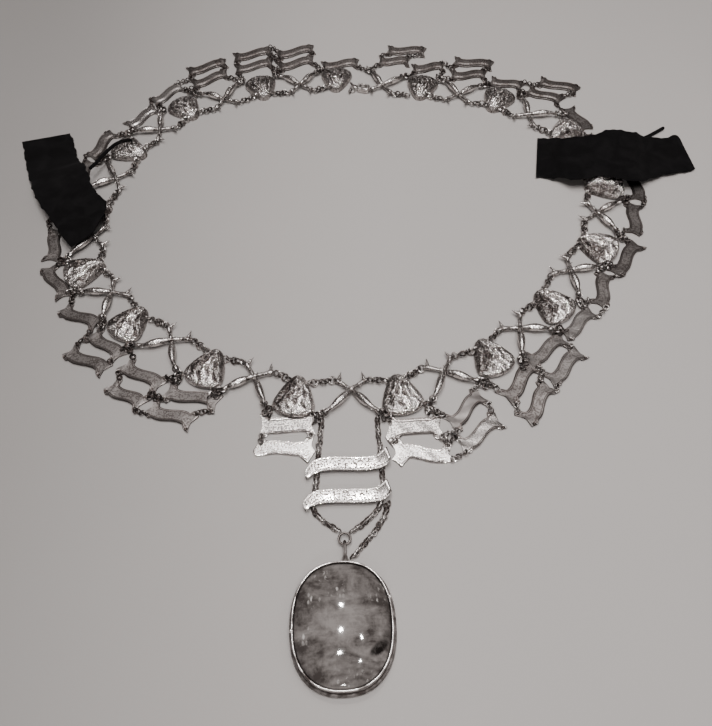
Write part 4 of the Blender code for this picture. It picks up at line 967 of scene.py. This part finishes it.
def banner_place(banner, u, v):
    """A banner's middle surface. x runs along it. y is v times the band's half width and the corner's ear, on
    the S wave sin(pi u). The ends are cut to a fishtail, and an ogee spike hangs from one outer corner.
    """
    side, end = np.abs(v), np.abs(u)
    outer = (v < 0.0) * side
    beside_drop = banner.link in FRONT_LINKS
    first_row = banner.tier == 1
    room = (ROW_PITCH.get(banner.link, 99.0) - 2.0 * BANNER_HALF_WIDTH - 0.5) / 2.0
    between_rows = min(INNER_EAR, room)
    up_ear = UPPER_EAR if first_row else between_rows
    down_ear = between_rows if first_row and banner.link in ROW_PITCH else OUTER_EAR * (banner.spike == 0)
    leaf = smooth_step(-banner.spike * u, 0.60, 1.0) * ((banner.link, banner.tier) == LEAF_ENDED)
    ear = np.where(v > 0.0, up_ear, down_ear) * smooth_step(end, EAR_STARTS, EAR_FULL)
    ear = ear * (1.0 - 0.35 * smooth_step(end, 0.90, 1.0)) * side ** 1.5 * (1.0 - 0.5 * leaf)
    cut = -FISHTAIL * (1.0 - side ** 1.4) * end ** 9 * (1.0 - leaf) + LEAF_TIP * leaf * (1.0 - side ** 1.6)
    x = banner.length / 2.0 * u + np.sign(u) * cut
    horn = np.clip(-banner.spike * u, 0.0, 1.0) ** 8 * outer ** 1.5 * (1.0 - 0.8 * leaf)
    x = x - banner.spike * HORN_LENGTH * horn
    wave = BANNER_WAVE if not beside_drop else FRONT_WAVE if first_row else SECOND_FRONT_WAVE
    margin = UPPER_MARGIN * (beside_drop and first_row) * (v > 0.0)
    half_width = BANNER_HALF_WIDTH * (1.0 - 0.25 * leaf) + margin
    spike = np.maximum(0.0, 1.0 - np.abs(banner.spike * u - SPIKE_AT) / SPIKE_HALF_WIDTH) ** 1.2
    y = v * half_width + np.sign(v) * ear + wave * np.sin(math.pi * u) - SPIKE_LENGTH * spike * outer ** 2
    cant = FRONT_CANT if beside_drop else BANNER_CANT
    z = 0.5 + cant * (1.0 - v) / 2.0 + 0.0 * u
    return np.stack([x, y, z], axis=-1)


def banner_frame(banner):
    """The frame that a banner lies in, beside its link."""
    return FRAMES[banner.link].beside(banner.along, banner.out, banner.turn)


def banner_spot(banner, u, v):
    """One point of a banner's middle surface in the maker's frame."""
    return banner_frame(banner).carry(banner_place(banner, np.array([u]), np.array([v])))[0]


def crowded(count, share):
    """Steps from -1 to 1 that crowd towards both ends: (1 - share) t + share sin(pi t / 2)."""
    t = np.linspace(-1.0, 1.0, count)
    return (1.0 - share) * t + share * np.sin(t * math.pi / 2.0)


def bead(v, height):
    """A raised line inside both long edges."""
    return height * np.exp(-((np.abs(v) - 0.9) / 0.06) ** 2)


def banner_patches(banner):
    """Wavy plate with rounded edges, a bead along each long edge and a ring hole near every corner."""
    u, v = np.meshgrid(crowded(84, 0.55), crowded(25, 0.6), indexing="ij")
    middle = banner_place(banner, u, v)
    edge = rounded(v, 0.92) * rounded(u, 0.985)
    band = 1.0 - smooth_step(np.abs(u), EAR_STARTS, EAR_FULL)
    holes = [banner_place(banner, np.array(a), np.array(b)) for a in (-HOLE_ALONG, HOLE_ALONG)
             for b in ((HOLE_ACROSS,) if banner.spike else (-HOLE_ACROSS, HOLE_ACROSS))]
    away = np.min([np.linalg.norm(middle[..., :2] - hole[:2], axis=-1) for hole in holes], axis=0)
    # Painted shade: the ring holes are darkened.
    hole = 1.0 - smooth_step(away, HOLE_RADIUS * 0.7, HOLE_RADIUS * 1.3)
    # own is this banner's tarnish with painted shade, or below 0 painted light.
    own = OWN_TARNISH_AND_SHADE.get((banner.link, banner.tier), 0.0)
    wear = np.clip(hole + 0.3 * (np.abs(v) > 0.985), 0.0, 1.0) + own
    ripple = 0.04 * np.sin(9.0 * u + 3.0 * v + banner.length) * (1.0 - np.abs(v) ** 4)
    fold = BACK_FOLD * (banner.link in BACK_LINKS) * smooth_step(-v, -0.50, -0.10)
    fold = fold * smooth_step(-np.abs(u), -0.90, -0.72)
    lift = bead(v, 0.16) * band + ripple + fold - HOLE_DEPTH * hole
    parts = slab(middle, BANNER_THICKNESS, edge, wear, ((u + 1.0) / 2.0, (v + 1.0) / 2.0), lift)
    return [carried(part, banner_frame(banner)) for part in parts]


def banner_rings(banners, rng):
    """Jump rings between neighbours, between the two rows and from upper corners to the crosses' rings."""
    parts = []
    rows = {tier: [banner for banner in banners if banner.tier == tier] for tier in (1, 2)}
    for row in rows.values():
        for here, there in zip(row, row[1:]):
            for v in (HOLE_ACROSS, -HOLE_ACROSS):
                start, end = banner_spot(here, HOLE_ALONG, v), banner_spot(there, -HOLE_ALONG, v)
                if np.linalg.norm(end - start) < NEIGHBOUR_GAP:
                    parts.append(ring_string(start, end, *NEIGHBOUR_RING, rng, floor=0.5))
    for outer in rows[2]:
        inner = next(banner for banner in rows[1] if banner.link == outer.link)
        for end in (-HOLE_ALONG, HOLE_ALONG):
            above, below = banner_spot(inner, end, -HOLE_ACROSS), banner_spot(outer, end, HOLE_ACROSS)
            parts.append(ring_string(above, below, *ROW_RING, rng, floor=0.7))
    ends = outer_ring_ends()
    for banner in rows[1]:
        for end in (-HOLE_ALONG, HOLE_ALONG):
            corner = banner_spot(banner, end, HOLE_ACROSS)
            nearest = ends[np.argmin(np.linalg.norm(ends[:, :2] - corner[:2], axis=1))]
            if np.linalg.norm(nearest[:2] - corner[:2]) < CROSS_GAP:
                parts.append(ring_string(corner, nearest, *HANGING_RING, rng, floor=0.6))
    return parts


# ---------------------------------------------------------------- the centre drop

SCROLL_HEIGHT = 3.55
SCROLL_THICKNESS = 0.85
SCROLL_SLANT = 0.45            # how far the right end's corners run on, as a share of the half width


def scroll_patches(sections):
    """A band along a curling line: its width runs square to the line, and its edges are rounded."""
    x, y, half_width, curl = np.array(sections).T
    line = smooth_line(np.stack([x, y, SCROLL_HEIGHT + curl, half_width], axis=1), 64)
    along = unit(np.gradient(line[:, :2], axis=0))
    aside = np.stack([-along[:, 1], along[:, 0]], axis=1)
    u, v = np.meshgrid(np.linspace(-1.0, 1.0, len(line)), crowded(19, 0.5), indexing="ij")
    reach = line[:, 3:4] * v
    flat = line[:, None, :2] + aside[:, None] * reach[..., None]
    flat += along[:, None] * (SCROLL_SLANT * smooth_step(u, 0.72, 1.0) * reach)[..., None]
    crown = 0.12 * (1.0 - v ** 2)
    middle = np.concatenate([flat, (line[:, 2:3] + crown)[..., None]], axis=-1)
    edge = rounded(v, 0.90) * rounded(u, 0.985)
    # Painted shade: the curled tails are darkened where they turn away from the light.
    wear = 0.3 * smooth_step(u, 0.62, 0.85) + 0.5 * smooth_step(-u, 0.90, 1.0)
    return slab(middle, SCROLL_THICKNESS, edge, wear, ((u + 1.0) / 2.0, (v + 1.0) / 2.0), bead(v, 0.14))


LINK_PITCH = 1.55
LINK_RADIUS, LINK_WIRE, LINK_STRETCH = 0.95, 0.44, 1.5
LINK_SWING = 0.5               # to each side by turns
LINK_ROLL = 0.75               # radians to each side by turns


def fine_chain_patches(route, seed):
    """A rope of oval links that swing from side to side and lean over by turns, one through the next."""
    rng = np.random.default_rng(seed)
    count = int(line_length(smooth_line(route, 200)) / LINK_PITCH)
    line = smooth_line(route, count)
    along = unit(np.gradient(line, axis=0))
    aside = np.cross(along, (0.0, 0.0, 1.0))
    by_turns = np.where(np.arange(count) % 2, 1.0, -1.0)
    middles = line + (LINK_SWING * by_turns)[:, None] * aside + 0.10 * rng.normal(0.0, 1.0, (count, 3))
    roll = LINK_ROLL * by_turns + rng.normal(0.0, 0.3, count)
    axes = np.cos(roll)[:, None] * np.cross(aside, along) + np.sin(roll)[:, None] * aside
    return [oriented_rings(middles, axes, along, LINK_RADIUS, LINK_WIRE, around=12, sides=6,
                           stretch=LINK_STRETCH, wear=0.66)]


def oblong(inset, z, count):
    """A rounded oblong |x/a|^p + |y/b|^p = 1, inset from the pendant's outline, at a height."""
    x, y = superellipse(full_turn(count), PENDANT_POWER)
    inset, z = np.asarray(inset, dtype=float)[..., None], np.asarray(z, dtype=float)[..., None]
    x = PENDANT_MIDDLE[0] + (PENDANT_HALF_WIDTH - inset) * x
    y = PENDANT_MIDDLE[1] + (PENDANT_HALF_HEIGHT - inset) * y
    return np.stack([x, y, z + 0.0 * x], axis=-1)


# Painted shadow: the outer step, the rows up to the wall's foot, is darkened nearly to the tarnish colour.
BEZEL_LINE = (                 # inset, height and darkening, up the outside, over the rim and down inside
    (24.0, 0.0, 1.0), (1.2, 0.0, 1.0), (0.5, 0.15, 1.0), (0.1, 0.5, 1.0), (0.0, 0.9, 0.9),
    (0.0, 1.7, 0.8), (0.15, 2.05, 0.7), (0.6, 2.35, 0.8), (1.2, 2.55, 1.0), (1.38, 2.9, 1.0),
    (1.38, 4.2, 1.0), (1.38, 6.0, 1.0), (1.38, 7.9, 0.5), (1.42, 8.5, 0.6), (1.52, 8.85, 0.1),
    (1.75, 9.0, 0.0), (2.0, 9.0, 0.0), (2.2, 8.85, 0.5), (2.3, 8.3, 0.7), (2.4, 7.6, 0.9),
    (2.5, 7.0, 0.9), (2.7, 2.0, 0.9), (24.0, 2.0, 0.9),
)
BEZEL_RIM = slice(13, 19)      # the rows of BEZEL_LINE that are the bright rim
SETTING_LOOP_RADIUS = 1.9
SETTING_LOOP_WIRE = 0.75
SETTING_LOOP_IN = 0.4          # how far its near bend's middle is inside the head
SETTING_LOOP_SHORT = 3.3       # and its far bend's middle short of the bail ring's
LUG = np.array((               # the tapered lug under the loop: x y z radius, from the head of the setting
    (0.0, -2.2, 3.4, 2.2), (0.0, -0.6, 3.3, 2.3), (0.0, 1.2, 2.8, 1.5), (0.0, 3.0, 2.6, 0.9)))
RIVET = np.array((             # x y z radius, a hair off upright so that the tube has a side
    (0.0, 0.0, 7.4, 0.9), (0.0001, 0.0, 8.3, 1.0), (0.0002, 0.0, 9.1, 0.8), (0.0003, 0.0, 9.35, 0.35)))
RIVET_SPOTS = ((-23.0, -2.4), (22.0, 11.0))    # from the pendant's middle


def bezel_patches():
    """Stepped tray swept round the oblong, the long loop soldered on its head and two small rivets."""
    inset, z, dark = np.array(BEZEL_LINE).T
    turn = full_turn(128)
    skin = oblong(inset, z, len(turn))
    skin[BEZEL_RIM, :, 2] += 0.16 * np.sin(3.0 * turn + 0.4) * np.sin(7.0 * turn) - 0.08
    skin[0], skin[-1] = (*PENDANT_MIDDLE, z[0]), (*PENDANT_MIDDLE, z[-1])
    dark = np.repeat(dark[:, None], len(turn), axis=1)
    beat = np.sin(4.0 * turn + 0.7) * np.sin(9.0 * turn) + 0.3 * np.sin(23.0 * turn)
    dark[BEZEL_RIM] += 0.7 * smooth_step(beat, 0.10, 0.50)
    parts = [patch(skin, dark, close_columns=True)]
    head = PENDANT_MIDDLE[1] + PENDANT_HALF_HEIGHT
    near, far = head - SETTING_LOOP_IN, BAIL_MIDDLE[1] - SETTING_LOOP_SHORT
    around = full_turn(40)
    loop = np.stack([np.full(40, BAIL_MIDDLE[0]),
                     np.where(np.cos(around) > 0, far, near) + SETTING_LOOP_RADIUS * np.cos(around),
                     BAIL_MIDDLE[2] + SETTING_LOOP_RADIUS * np.sin(around)], axis=1)
    parts.append(wire_ring(loop, SETTING_LOOP_WIRE, (1.0, 0.0, 0.0)))
    parts.append(tube(LUG[:, :3] + (BAIL_MIDDLE[0], head, 0.0), LUG[:, 3], 14, wear=0.75))
    for x, y in RIVET_SPOTS + np.array(PENDANT_MIDDLE):
        parts.append(tube(RIVET[:, :3] + (x, y, 0.0), RIVET[:, 3], 10, wear=0.3))
    return parts


def wire_ring(loop, wire, axis, sides=8):
    """A closed wire along a loop of points that lies square to the axis."""
    out = np.cross(unit(np.roll(loop, -1, axis=0) - np.roll(loop, 1, axis=0)), axis)
    turn = full_turn(sides)[None, :, None]
    points = loop[:, None] + wire * (np.cos(turn) * out[:, None] + np.sin(turn) * np.array(axis))
    return patch(points, 0.85, close_rows=True, close_columns=True)


STONE_INSET = 2.6
STONE_GIRDLE = 7.4             # height at which the dome begins
STONE_RISE = 5.0               # from there
FLECKS = ((15.5, 8.0), (19.0, 14.0), (-13.0, 10.5), (-9.0, 20.5), (-2.0, 14.0), (-16.5, -5.0), (0.0, -24.0),
          (9.0, -23.0))
INCLUSION = (16.4, -11.0)


def stone_zones(x, y):
    """Where its pale middle, dark edge, arcs, flecks and inclusion lie, by millimetres from its middle. Spots
    are bells exp(-d^2). The arcs are lines of equal y + k x^2, and show where layers is 1.
    """
    a, b = x - INCLUSION[0], y - INCLUSION[1]
    length, width = 0.8 * a + 0.6 * b, 0.8 * b - 0.6 * a
    return {
        "middle": np.exp(-((x - 0.5) / 9.5) ** 2 - ((y - 1.0) / 15.0) ** 2),
        "layers": smooth_step(-y, 7.0, 13.0),
        "edge": smooth_step(np.abs(x) + 0.25 * y, 15.0, 23.0),
        "arcs": y + 0.018 * x ** 2,
        "flecks": np.minimum(1.0, sum(np.exp(-((x - at) ** 2 + (y - up) ** 2) / 9.0) for at, up in FLECKS)),
        "inclusion": np.minimum(1.0, 1.6 * np.exp(-(length / 5.0) ** 2 - (width / 2.4) ** 2)),
    }


def stone_piece(material):
    """Cabochon: a straight girdle, then a dome z = g + h (1 - r^2)^0.72 at the share r of the half width."""
    share = np.concatenate([np.linspace(1.0, 0.9, 8), np.linspace(0.88, 0.0, 36)])
    dome = STONE_GIRDLE + STONE_RISE * np.maximum(0.0, 1.0 - share ** 2) ** 0.72
    wide = np.concatenate([(0.0, 0.975, 0.99, 0.997), share])[:, None, None]
    z = np.concatenate([(2.3, 2.3, 2.6, 3.0), dome])[:, None, None]
    middle = np.array((*PENDANT_MIDDLE, 0.0))
    skin = middle + wide * (oblong(STONE_INSET, 0.0, 128) - middle) + z * np.array((0.0, 0.0, 1.0))
    parts = [patch(skin, close_columns=True)]
    stone = make_piece("cabochon_stone", parts, material, ["pendant_stone"], 60.0)
    points = np.empty(3 * len(stone.data.vertices), np.float32)
    stone.data.vertices.foreach_get("co", points)
    x, y = ((points.reshape(-1, 3) / MM - SHIFT)[:, :2] - PENDANT_MIDDLE).T
    for name, values in stone_zones(x, y).items():
        stone.data.attributes.new(name, "FLOAT", "POINT").data.foreach_set("value", values.astype(np.float32))


# ---------------------------------------------------------------- the velvet

RIBBON_THICKNESS = 1.4
RIBBON_LIFT = 1.1              # of its middle over its underside at rest, with room for the creases


def ribbon_patches(sections, seed):
    """Soft band between its two edges, with low creases across it and a rounded, slightly frayed border."""
    table = np.array(sections)
    outer = smooth_line(table[:, :3], 96)
    inner = smooth_line(table[:, 3:], 96)
    along = np.linspace(-1.0, 1.0, 96)[:, None]
    across = crowded(33, 0.35)[None, :]
    frayed = 0.010 * np.sin(29.0 * along + 2.0 * across + seed) + 0.006 * np.sin(61.0 * along + 3.0 * seed)
    share = (across + 1.0) / 2.0 + frayed * across
    middle = outer[:, None] + (inner - outer)[:, None] * share[..., None]
    crease = (0.35 * np.sin(9.0 * along + 1.7 * across + seed)
              + 0.25 * np.sin(17.0 * along - 3.0 * across + 2 * seed)
              + 0.2 * np.sin(5.0 * across + 7.0 * along))
    edge = rounded(across, 0.93) * rounded(along, 0.98)
    middle[..., 2] += RIBBON_LIFT + 0.45 * crease * np.minimum(1.0, middle[..., 2] / 4.0)
    return slab(middle, RIBBON_THICKNESS, edge)


# ---------------------------------------------------------------- settings


def colour(name, description, default):
    """A colour that a user may change."""
    return FloatVectorProperty(name=name, description=description, default=default, subtype="COLOR", size=3,
                               min=0.0, max=1.0)


class ChainMetal(bpy.types.PropertyGroup):
    """Colours of the silver."""
    silver_colour: colour("Silver", "Colour of the bright silver", (0.92, 0.873, 0.852))
    # The tarnish colour is also the colour of the painted shade on the shells, the setting and the banners.
    tarnish_and_shade_colour: colour("Tarnish", "Colour of the silver in its hollows", (0.085, 0.070, 0.066))


class ChainStone(bpy.types.PropertyGroup):
    """Colours of the stone."""
    light_colour: colour("Light clouds", "Colour of the stone's pale clouds", (0.36, 0.332, 0.322))
    dark_colour: colour("Dark clouds", "Colour of the stone's dark clouds", (0.070, 0.060, 0.057))
    fleck_colour: colour("Flecks", "Colour of the small pale flecks in the stone", (0.75, 0.72, 0.70))
    inclusion_colour: colour("Inclusion", "Colour of the dark patch low on the right", (0.012, 0.010, 0.009))


class ChainVelvet(bpy.types.PropertyGroup):
    """Colours of the ribbons."""
    pile_colour: colour("Pile", "Colour of the velvet seen into its pile", (0.0025, 0.0022, 0.0025))
    nap_colour: colour("Nap", "Colour of the velvet where its nap is pressed", (0.006, 0.0055, 0.006))


class ChainStage(bpy.types.PropertyGroup):
    """The cloth, the lights and the camera."""
    cloth_colour: colour("Cloth", "Colour of the surface the chain lies on", (0.47, 0.448, 0.440))
    room_colour: colour("Room", "Colour of the dim room round the table", (0.075, 0.066, 0.064))
    panel_power: FloatProperty(
        name="Panel power", description="Power of the large soft light overhead", default=1.76, min=0.0,
        unit="POWER")
    lamp_power: FloatProperty(
        name="Lamp power", description="Power of each small ceiling lamp", default=7.05, min=0.0,
        unit="POWER")
    lens: FloatProperty(
        name="Lens", description="Focal length of the camera, in millimetres", default=34.29, min=1.0,
        unit="CAMERA")


# ---------------------------------------------------------------- operators

CAMERA_PLACE = (4.4, -187.9, 333.5)
CAMERA_DOWN = 57.51            # degrees below level
CAMERA_ROLL = -2.30


class CHAIN_OT_camera(bpy.types.Operator):
    """Place the camera in front of the chain, looking down at it"""
    bl_idname = "chain.camera"
    bl_label = "Camera"

    def execute(self, context):
        lens = bpy.data.cameras.new("camera")
        lens.lens = context.scene.chain_stage.lens
        lens.clip_start, lens.clip_end = 0.01, 50.0
        camera = bpy.data.objects.new("camera", lens)
        context.scene.collection.objects.link(camera)
        camera.matrix_world = (Matrix.Translation((np.array(CAMERA_PLACE) + SHIFT) * MM)
                               @ Matrix.Rotation(math.radians(90.0 - CAMERA_DOWN), 4, "X")
                               @ Matrix.Rotation(math.radians(CAMERA_ROLL), 4, "Z"))
        context.scene.camera = camera
        return {"FINISHED"}


class CHAIN_OT_ribbon_ties(bpy.types.Operator):
    """Lay the two thin ties that come out from under the ribbons"""
    bl_idname = "chain.ribbon_ties"
    bl_label = "Ribbon ties"

    def execute(self, context):
        pile = velvet("tie_velvet")
        for name, route in TIES.items():
            line = (smooth_line(route, 24) + SHIFT) * MM
            curve = bpy.data.curves.new(f"velvet_{name}", "CURVE")
            curve.dimensions = "3D"
            curve.bevel_depth = TIE_DIAMETER / 2.0
            curve.bevel_resolution = 3
            curve.use_fill_caps = True
            spline = curve.splines.new("POLY")
            spline.points.add(len(line) - 1)
            spline.points.foreach_set("co", np.concatenate([line, np.ones((len(line), 1))], axis=1).ravel())
            spline.use_smooth = True
            curve.materials.append(pile)
            tie = bpy.data.objects.new(f"velvet_{name}", curve)
            context.scene.collection.objects.link(tie)
            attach(tie, "root")
            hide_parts(name)
        return {"FINISHED"}


class CHAIN_OT_shells(bpy.types.Operator):
    """Shape the domed shells of the neck chain"""
    bl_idname = "chain.shells"
    bl_label = "Shells"

    def execute(self, context):
        silver = cast_silver("beaten_silver")
        for number in range(1, SHELL_COUNT + 1):
            name = f"shell_{number:02d}"
            tone = SHELL_TONES.get(number, Tone())
            parts = [carried(part, FRAMES[name + "_turned"]) for part in shell_patches(1.7 * number, tone)]
            make_piece(f"domed_{name}", parts, silver, [name], 55.0)
        return {"FINISHED"}


class CHAIN_OT_cross_links(bpy.types.Operator):
    """Shape the crossed thorny twigs and their jump rings"""
    bl_idname = "chain.cross_links"
    bl_label = "Cross links"

    def execute(self, context):
        silver = cast_silver("twig_silver", grain=900.0, depth=0.00018, roughness=0.18, tarnish=1.0,
                             speckle=0.45, hollow=0.43)
        for number, (link, half_span) in enumerate(HALF_SPANS.items(), start=1):
            parts = cross_patches(half_span, number == CLASP_AFTER + 1, number)
            parts = [carried(part, FRAMES[link + "_turned"]) for part in parts]
            make_piece(f"twig_{link}", parts, silver, [f"cross_link_{number:02d}"], 60.0)
        return {"FINISHED"}


class CHAIN_OT_banners(bpy.types.Operator):
    """Shape the scroll banners round the outside of the chain and the rings that join them"""
    bl_idname = "chain.banners"
    bl_label = "Banners"

    def execute(self, context):
        # Lit and shaded copies of one engraved silver: the front sheet is painted light, and the others'
        # tarnish is partly painted shade.
        front = engraved_silver("front_banner_silver")
        others = engraved_silver("banner_silver", roughness=0.36, stipple=0.16, depth=0.00003, tarnish=0.71,
                                 lines=0.35)
        bright_rings = polished_silver("ring_silver")
        dark_rings = polished_silver("dark_ring_silver", tarnish=0.35)
        for number, links in enumerate(BANNER_GROUPS, start=1):
            banners = [Banner(link, tier, *lay)
                       for link in links for tier, lay in enumerate(BANNER_LAY[link], start=1)]
            rng = np.random.default_rng(100 + number)
            parts = [part for banner in banners for part in banner_patches(banner)]
            sheet = front if number <= FRONT_GROUPS else others
            solids = [f"banners_{number:02d}"]
            make_piece(f"engraved_banners_{number:02d}", parts, sheet, solids)
            wire = bright_rings if number <= BRIGHT_RING_GROUPS else dark_rings
            parts = banner_rings(banners, rng)
            make_piece(f"banner_rings_{number:02d}", parts, wire, solids, 80.0)
        return {"FINISHED"}


class CHAIN_OT_back_clasp(bpy.types.Operator):
    """Shape the plain clasp at the back and the rings beside it"""
    bl_idname = "chain.back_clasp"
    bl_label = "Back clasp"

    def execute(self, context):
        link = FRAMES[f"cross_{CLASP_AFTER + 1:02d}_turned"]
        parts = [carried(part, link) for part in clasp_patches(40)]
        make_piece("box_clasp", parts, polished_silver("clasp_silver"), ["back_clasp"])
        return {"FINISHED"}


class CHAIN_OT_centre_drop(bpy.types.Operator):
    """Shape the two wide scrolls, the fine double chains and the round ring below them"""
    bl_idname = "chain.centre_drop"
    bl_label = "Centre drop"

    def execute(self, context):
        sheet = engraved_silver("scroll_silver", stipple=0.9)
        for name, sections in SCROLLS.items():
            make_piece(f"engraved_{name}", scroll_patches(sections), sheet, [name])
        wire = polished_silver("fine_chain_silver")
        for number, (name, route) in enumerate(DROP_CHAINS.items()):
            make_piece(f"fine_{name}", fine_chain_patches(route, number), wire, [name], 80.0)
        ring = rings(BAIL_MIDDLE, (0.0, 0.0, 1.0), BAIL_RADIUS, BAIL_WIRE, 32, 10, wear=0.7)
        make_piece("round_bail_ring", [ring], wire, ["bail_ring"], 80.0)
        return {"FINISHED"}


class CHAIN_OT_pendant(bpy.types.Operator):
    """Shape the pendant's stepped setting and its stone"""
    bl_idname = "chain.pendant"
    bl_label = "Pendant"

    def execute(self, context):
        silver = polished_silver("setting_silver", roughness=0.27, stain=1.4)
        make_piece("stepped_setting", bezel_patches(), silver, ["pendant_bezel"])
        stone_piece(clouded_stone("clouded_stone"))
        return {"FINISHED"}


class CHAIN_OT_ribbons(bpy.types.Operator):
    """Lay the two black velvet ribbons over the chain"""
    bl_idname = "chain.ribbons"
    bl_label = "Ribbons"

    def execute(self, context):
        pile = velvet("black_velvet")
        for number, (name, sections) in enumerate(RIBBONS.items()):
            parts = ribbon_patches(sections, 2.1 * number)
            piece = make_piece(f"velvet_{name}", parts, pile, [name], 70.0)
        return {"FINISHED"}


LAMPS = (                      # place of each, as metres from the pendant, its share of the power and radius
    ((-0.040, 0.402, 1.0), 1.0, 0.011), ((-0.049, 0.128, 1.0), 1.2, 0.022),
    ((0.259, 0.072, 1.0), 0.9, 0.013), ((-0.058, -0.109, 1.0), 0.9, 0.016),
    ((0.211, -0.220, 1.0), 0.9, 0.014), ((-0.044, -0.918, 1.0), 0.8, 0.02),
    ((0.07, 1.40, 0.52), 0.35, 0.02),
)
LAMP_COLOUR = (1.0, 0.97, 0.94)
PANELS = (                     # name, place as metres from the pendant, width and depth, share
    ("overhead_panel", (0.0, 0.535, 1.0), (0.42, 0.36), 1.0),
    ("front_panel", (0.25, 0.05, 1.0), (1.3, 0.34), 2.2),
)
PANEL_COLOUR = (1.0, 0.975, 0.955)
CLOTH_HALF_SIZE = 4.0          # metres
CLOTH_HEIGHT = -0.0001         # metres, clear of the flat undersides
CLOTH_CORNERS = ((-1, -1), (1, -1), (1, 1), (-1, 1))


def hang_light(name, kind, power, light_colour, place):
    """A light of that kind at a place given as metres from the pendant."""
    light = bpy.data.lights.new(name, kind)
    light.energy, light.color = power, light_colour
    holder = bpy.data.objects.new(name, light)
    holder.location = np.array(place) + (np.array((*PENDANT_MIDDLE, 0.0)) + SHIFT) * MM
    bpy.context.scene.collection.objects.link(holder)
    return light, holder


class CHAIN_OT_stage(bpy.types.Operator):
    """Lay the pale cloth and hang the soft lights"""
    bl_idname = "chain.stage"
    bl_label = "Stage"

    def execute(self, context):
        look = context.scene.chain_stage
        mesh = bpy.data.meshes.new("cloth")
        corners = [(CLOTH_HALF_SIZE * x, CLOTH_HALF_SIZE * y, 0.0) for x, y in CLOTH_CORNERS]
        mesh.from_pydata(corners, [], [(0, 1, 2, 3)])
        mesh.materials.append(table_cloth("table_cloth"))
        cloth = bpy.data.objects.new("cloth", mesh)
        cloth.location.z = CLOTH_HEIGHT
        context.scene.collection.objects.link(cloth)

        # the stone shows the lamps but not the panels
        unlit = bpy.data.collections.new("not_under_the_panels")
        unlit.objects.link(bpy.data.objects["cabochon_stone"])
        unlit.collection_objects[0].light_linking.link_state = "EXCLUDE"
        for name, place, size, share in PANELS:
            panel, holder = hang_light(name, "AREA", look.panel_power * share, PANEL_COLOUR, place)
            panel.shape = "RECTANGLE"
            panel.size, panel.size_y = size
            holder.light_linking.receiver_collection = unlit
        for number, (place, share, radius) in enumerate(LAMPS):
            power = look.lamp_power * share
            lamp, _ = hang_light(f"ceiling_lamp_{number}", "POINT", power, LAMP_COLOUR, place)
            lamp.shadow_soft_size = radius
        world = bpy.data.worlds.new("room")
        world.use_nodes = True
        world.node_tree.nodes["Background"].inputs[0].default_value = (*look.room_colour, 1.0)
        context.scene.world = world
        return {"FINISHED"}


OPERATORS = (CHAIN_OT_camera, CHAIN_OT_ribbon_ties, CHAIN_OT_shells, CHAIN_OT_cross_links, CHAIN_OT_banners,
             CHAIN_OT_back_clasp, CHAIN_OT_centre_drop, CHAIN_OT_pendant, CHAIN_OT_ribbons, CHAIN_OT_stage)
GROUPS = {"chain_metal": ChainMetal, "chain_stone": ChainStone, "chain_velvet": ChainVelvet,
          "chain_stage": ChainStage}


class CHAIN_PT_sidebar(bpy.types.Panel):
    """Sizes, colours and steps of the chain of office"""
    bl_idname = "CHAIN_PT_sidebar"
    bl_label = "Chain of Office"
    bl_space_type = "VIEW_3D"
    bl_region_type = "UI"
    bl_category = "Chain"

    def draw(self, context):
        for name in GROUPS:
            box = self.layout.box()
            group = getattr(context.scene, name)
            for key in group.bl_rna.properties.keys():
                if key not in ("rna_type", "name"):
                    box.prop(group, key)
        for operator in OPERATORS:
            self.layout.operator(operator.bl_idname)


def register():
    for kind in (*GROUPS.values(), *OPERATORS, CHAIN_PT_sidebar):
        bpy.utils.register_class(kind)
    for name, kind in GROUPS.items():
        setattr(bpy.types.Scene, name, PointerProperty(type=kind))


def unregister():
    for name in GROUPS:
        delattr(bpy.types.Scene, name)
    for kind in reversed((*GROUPS.values(), *OPERATORS, CHAIN_PT_sidebar)):
        bpy.utils.unregister_class(kind)


def main():
    register()
    for operator in OPERATORS:
        group, step = operator.bl_idname.split(".")
        getattr(getattr(bpy.ops, group), step)()


if __name__ == "__main__":
    main()
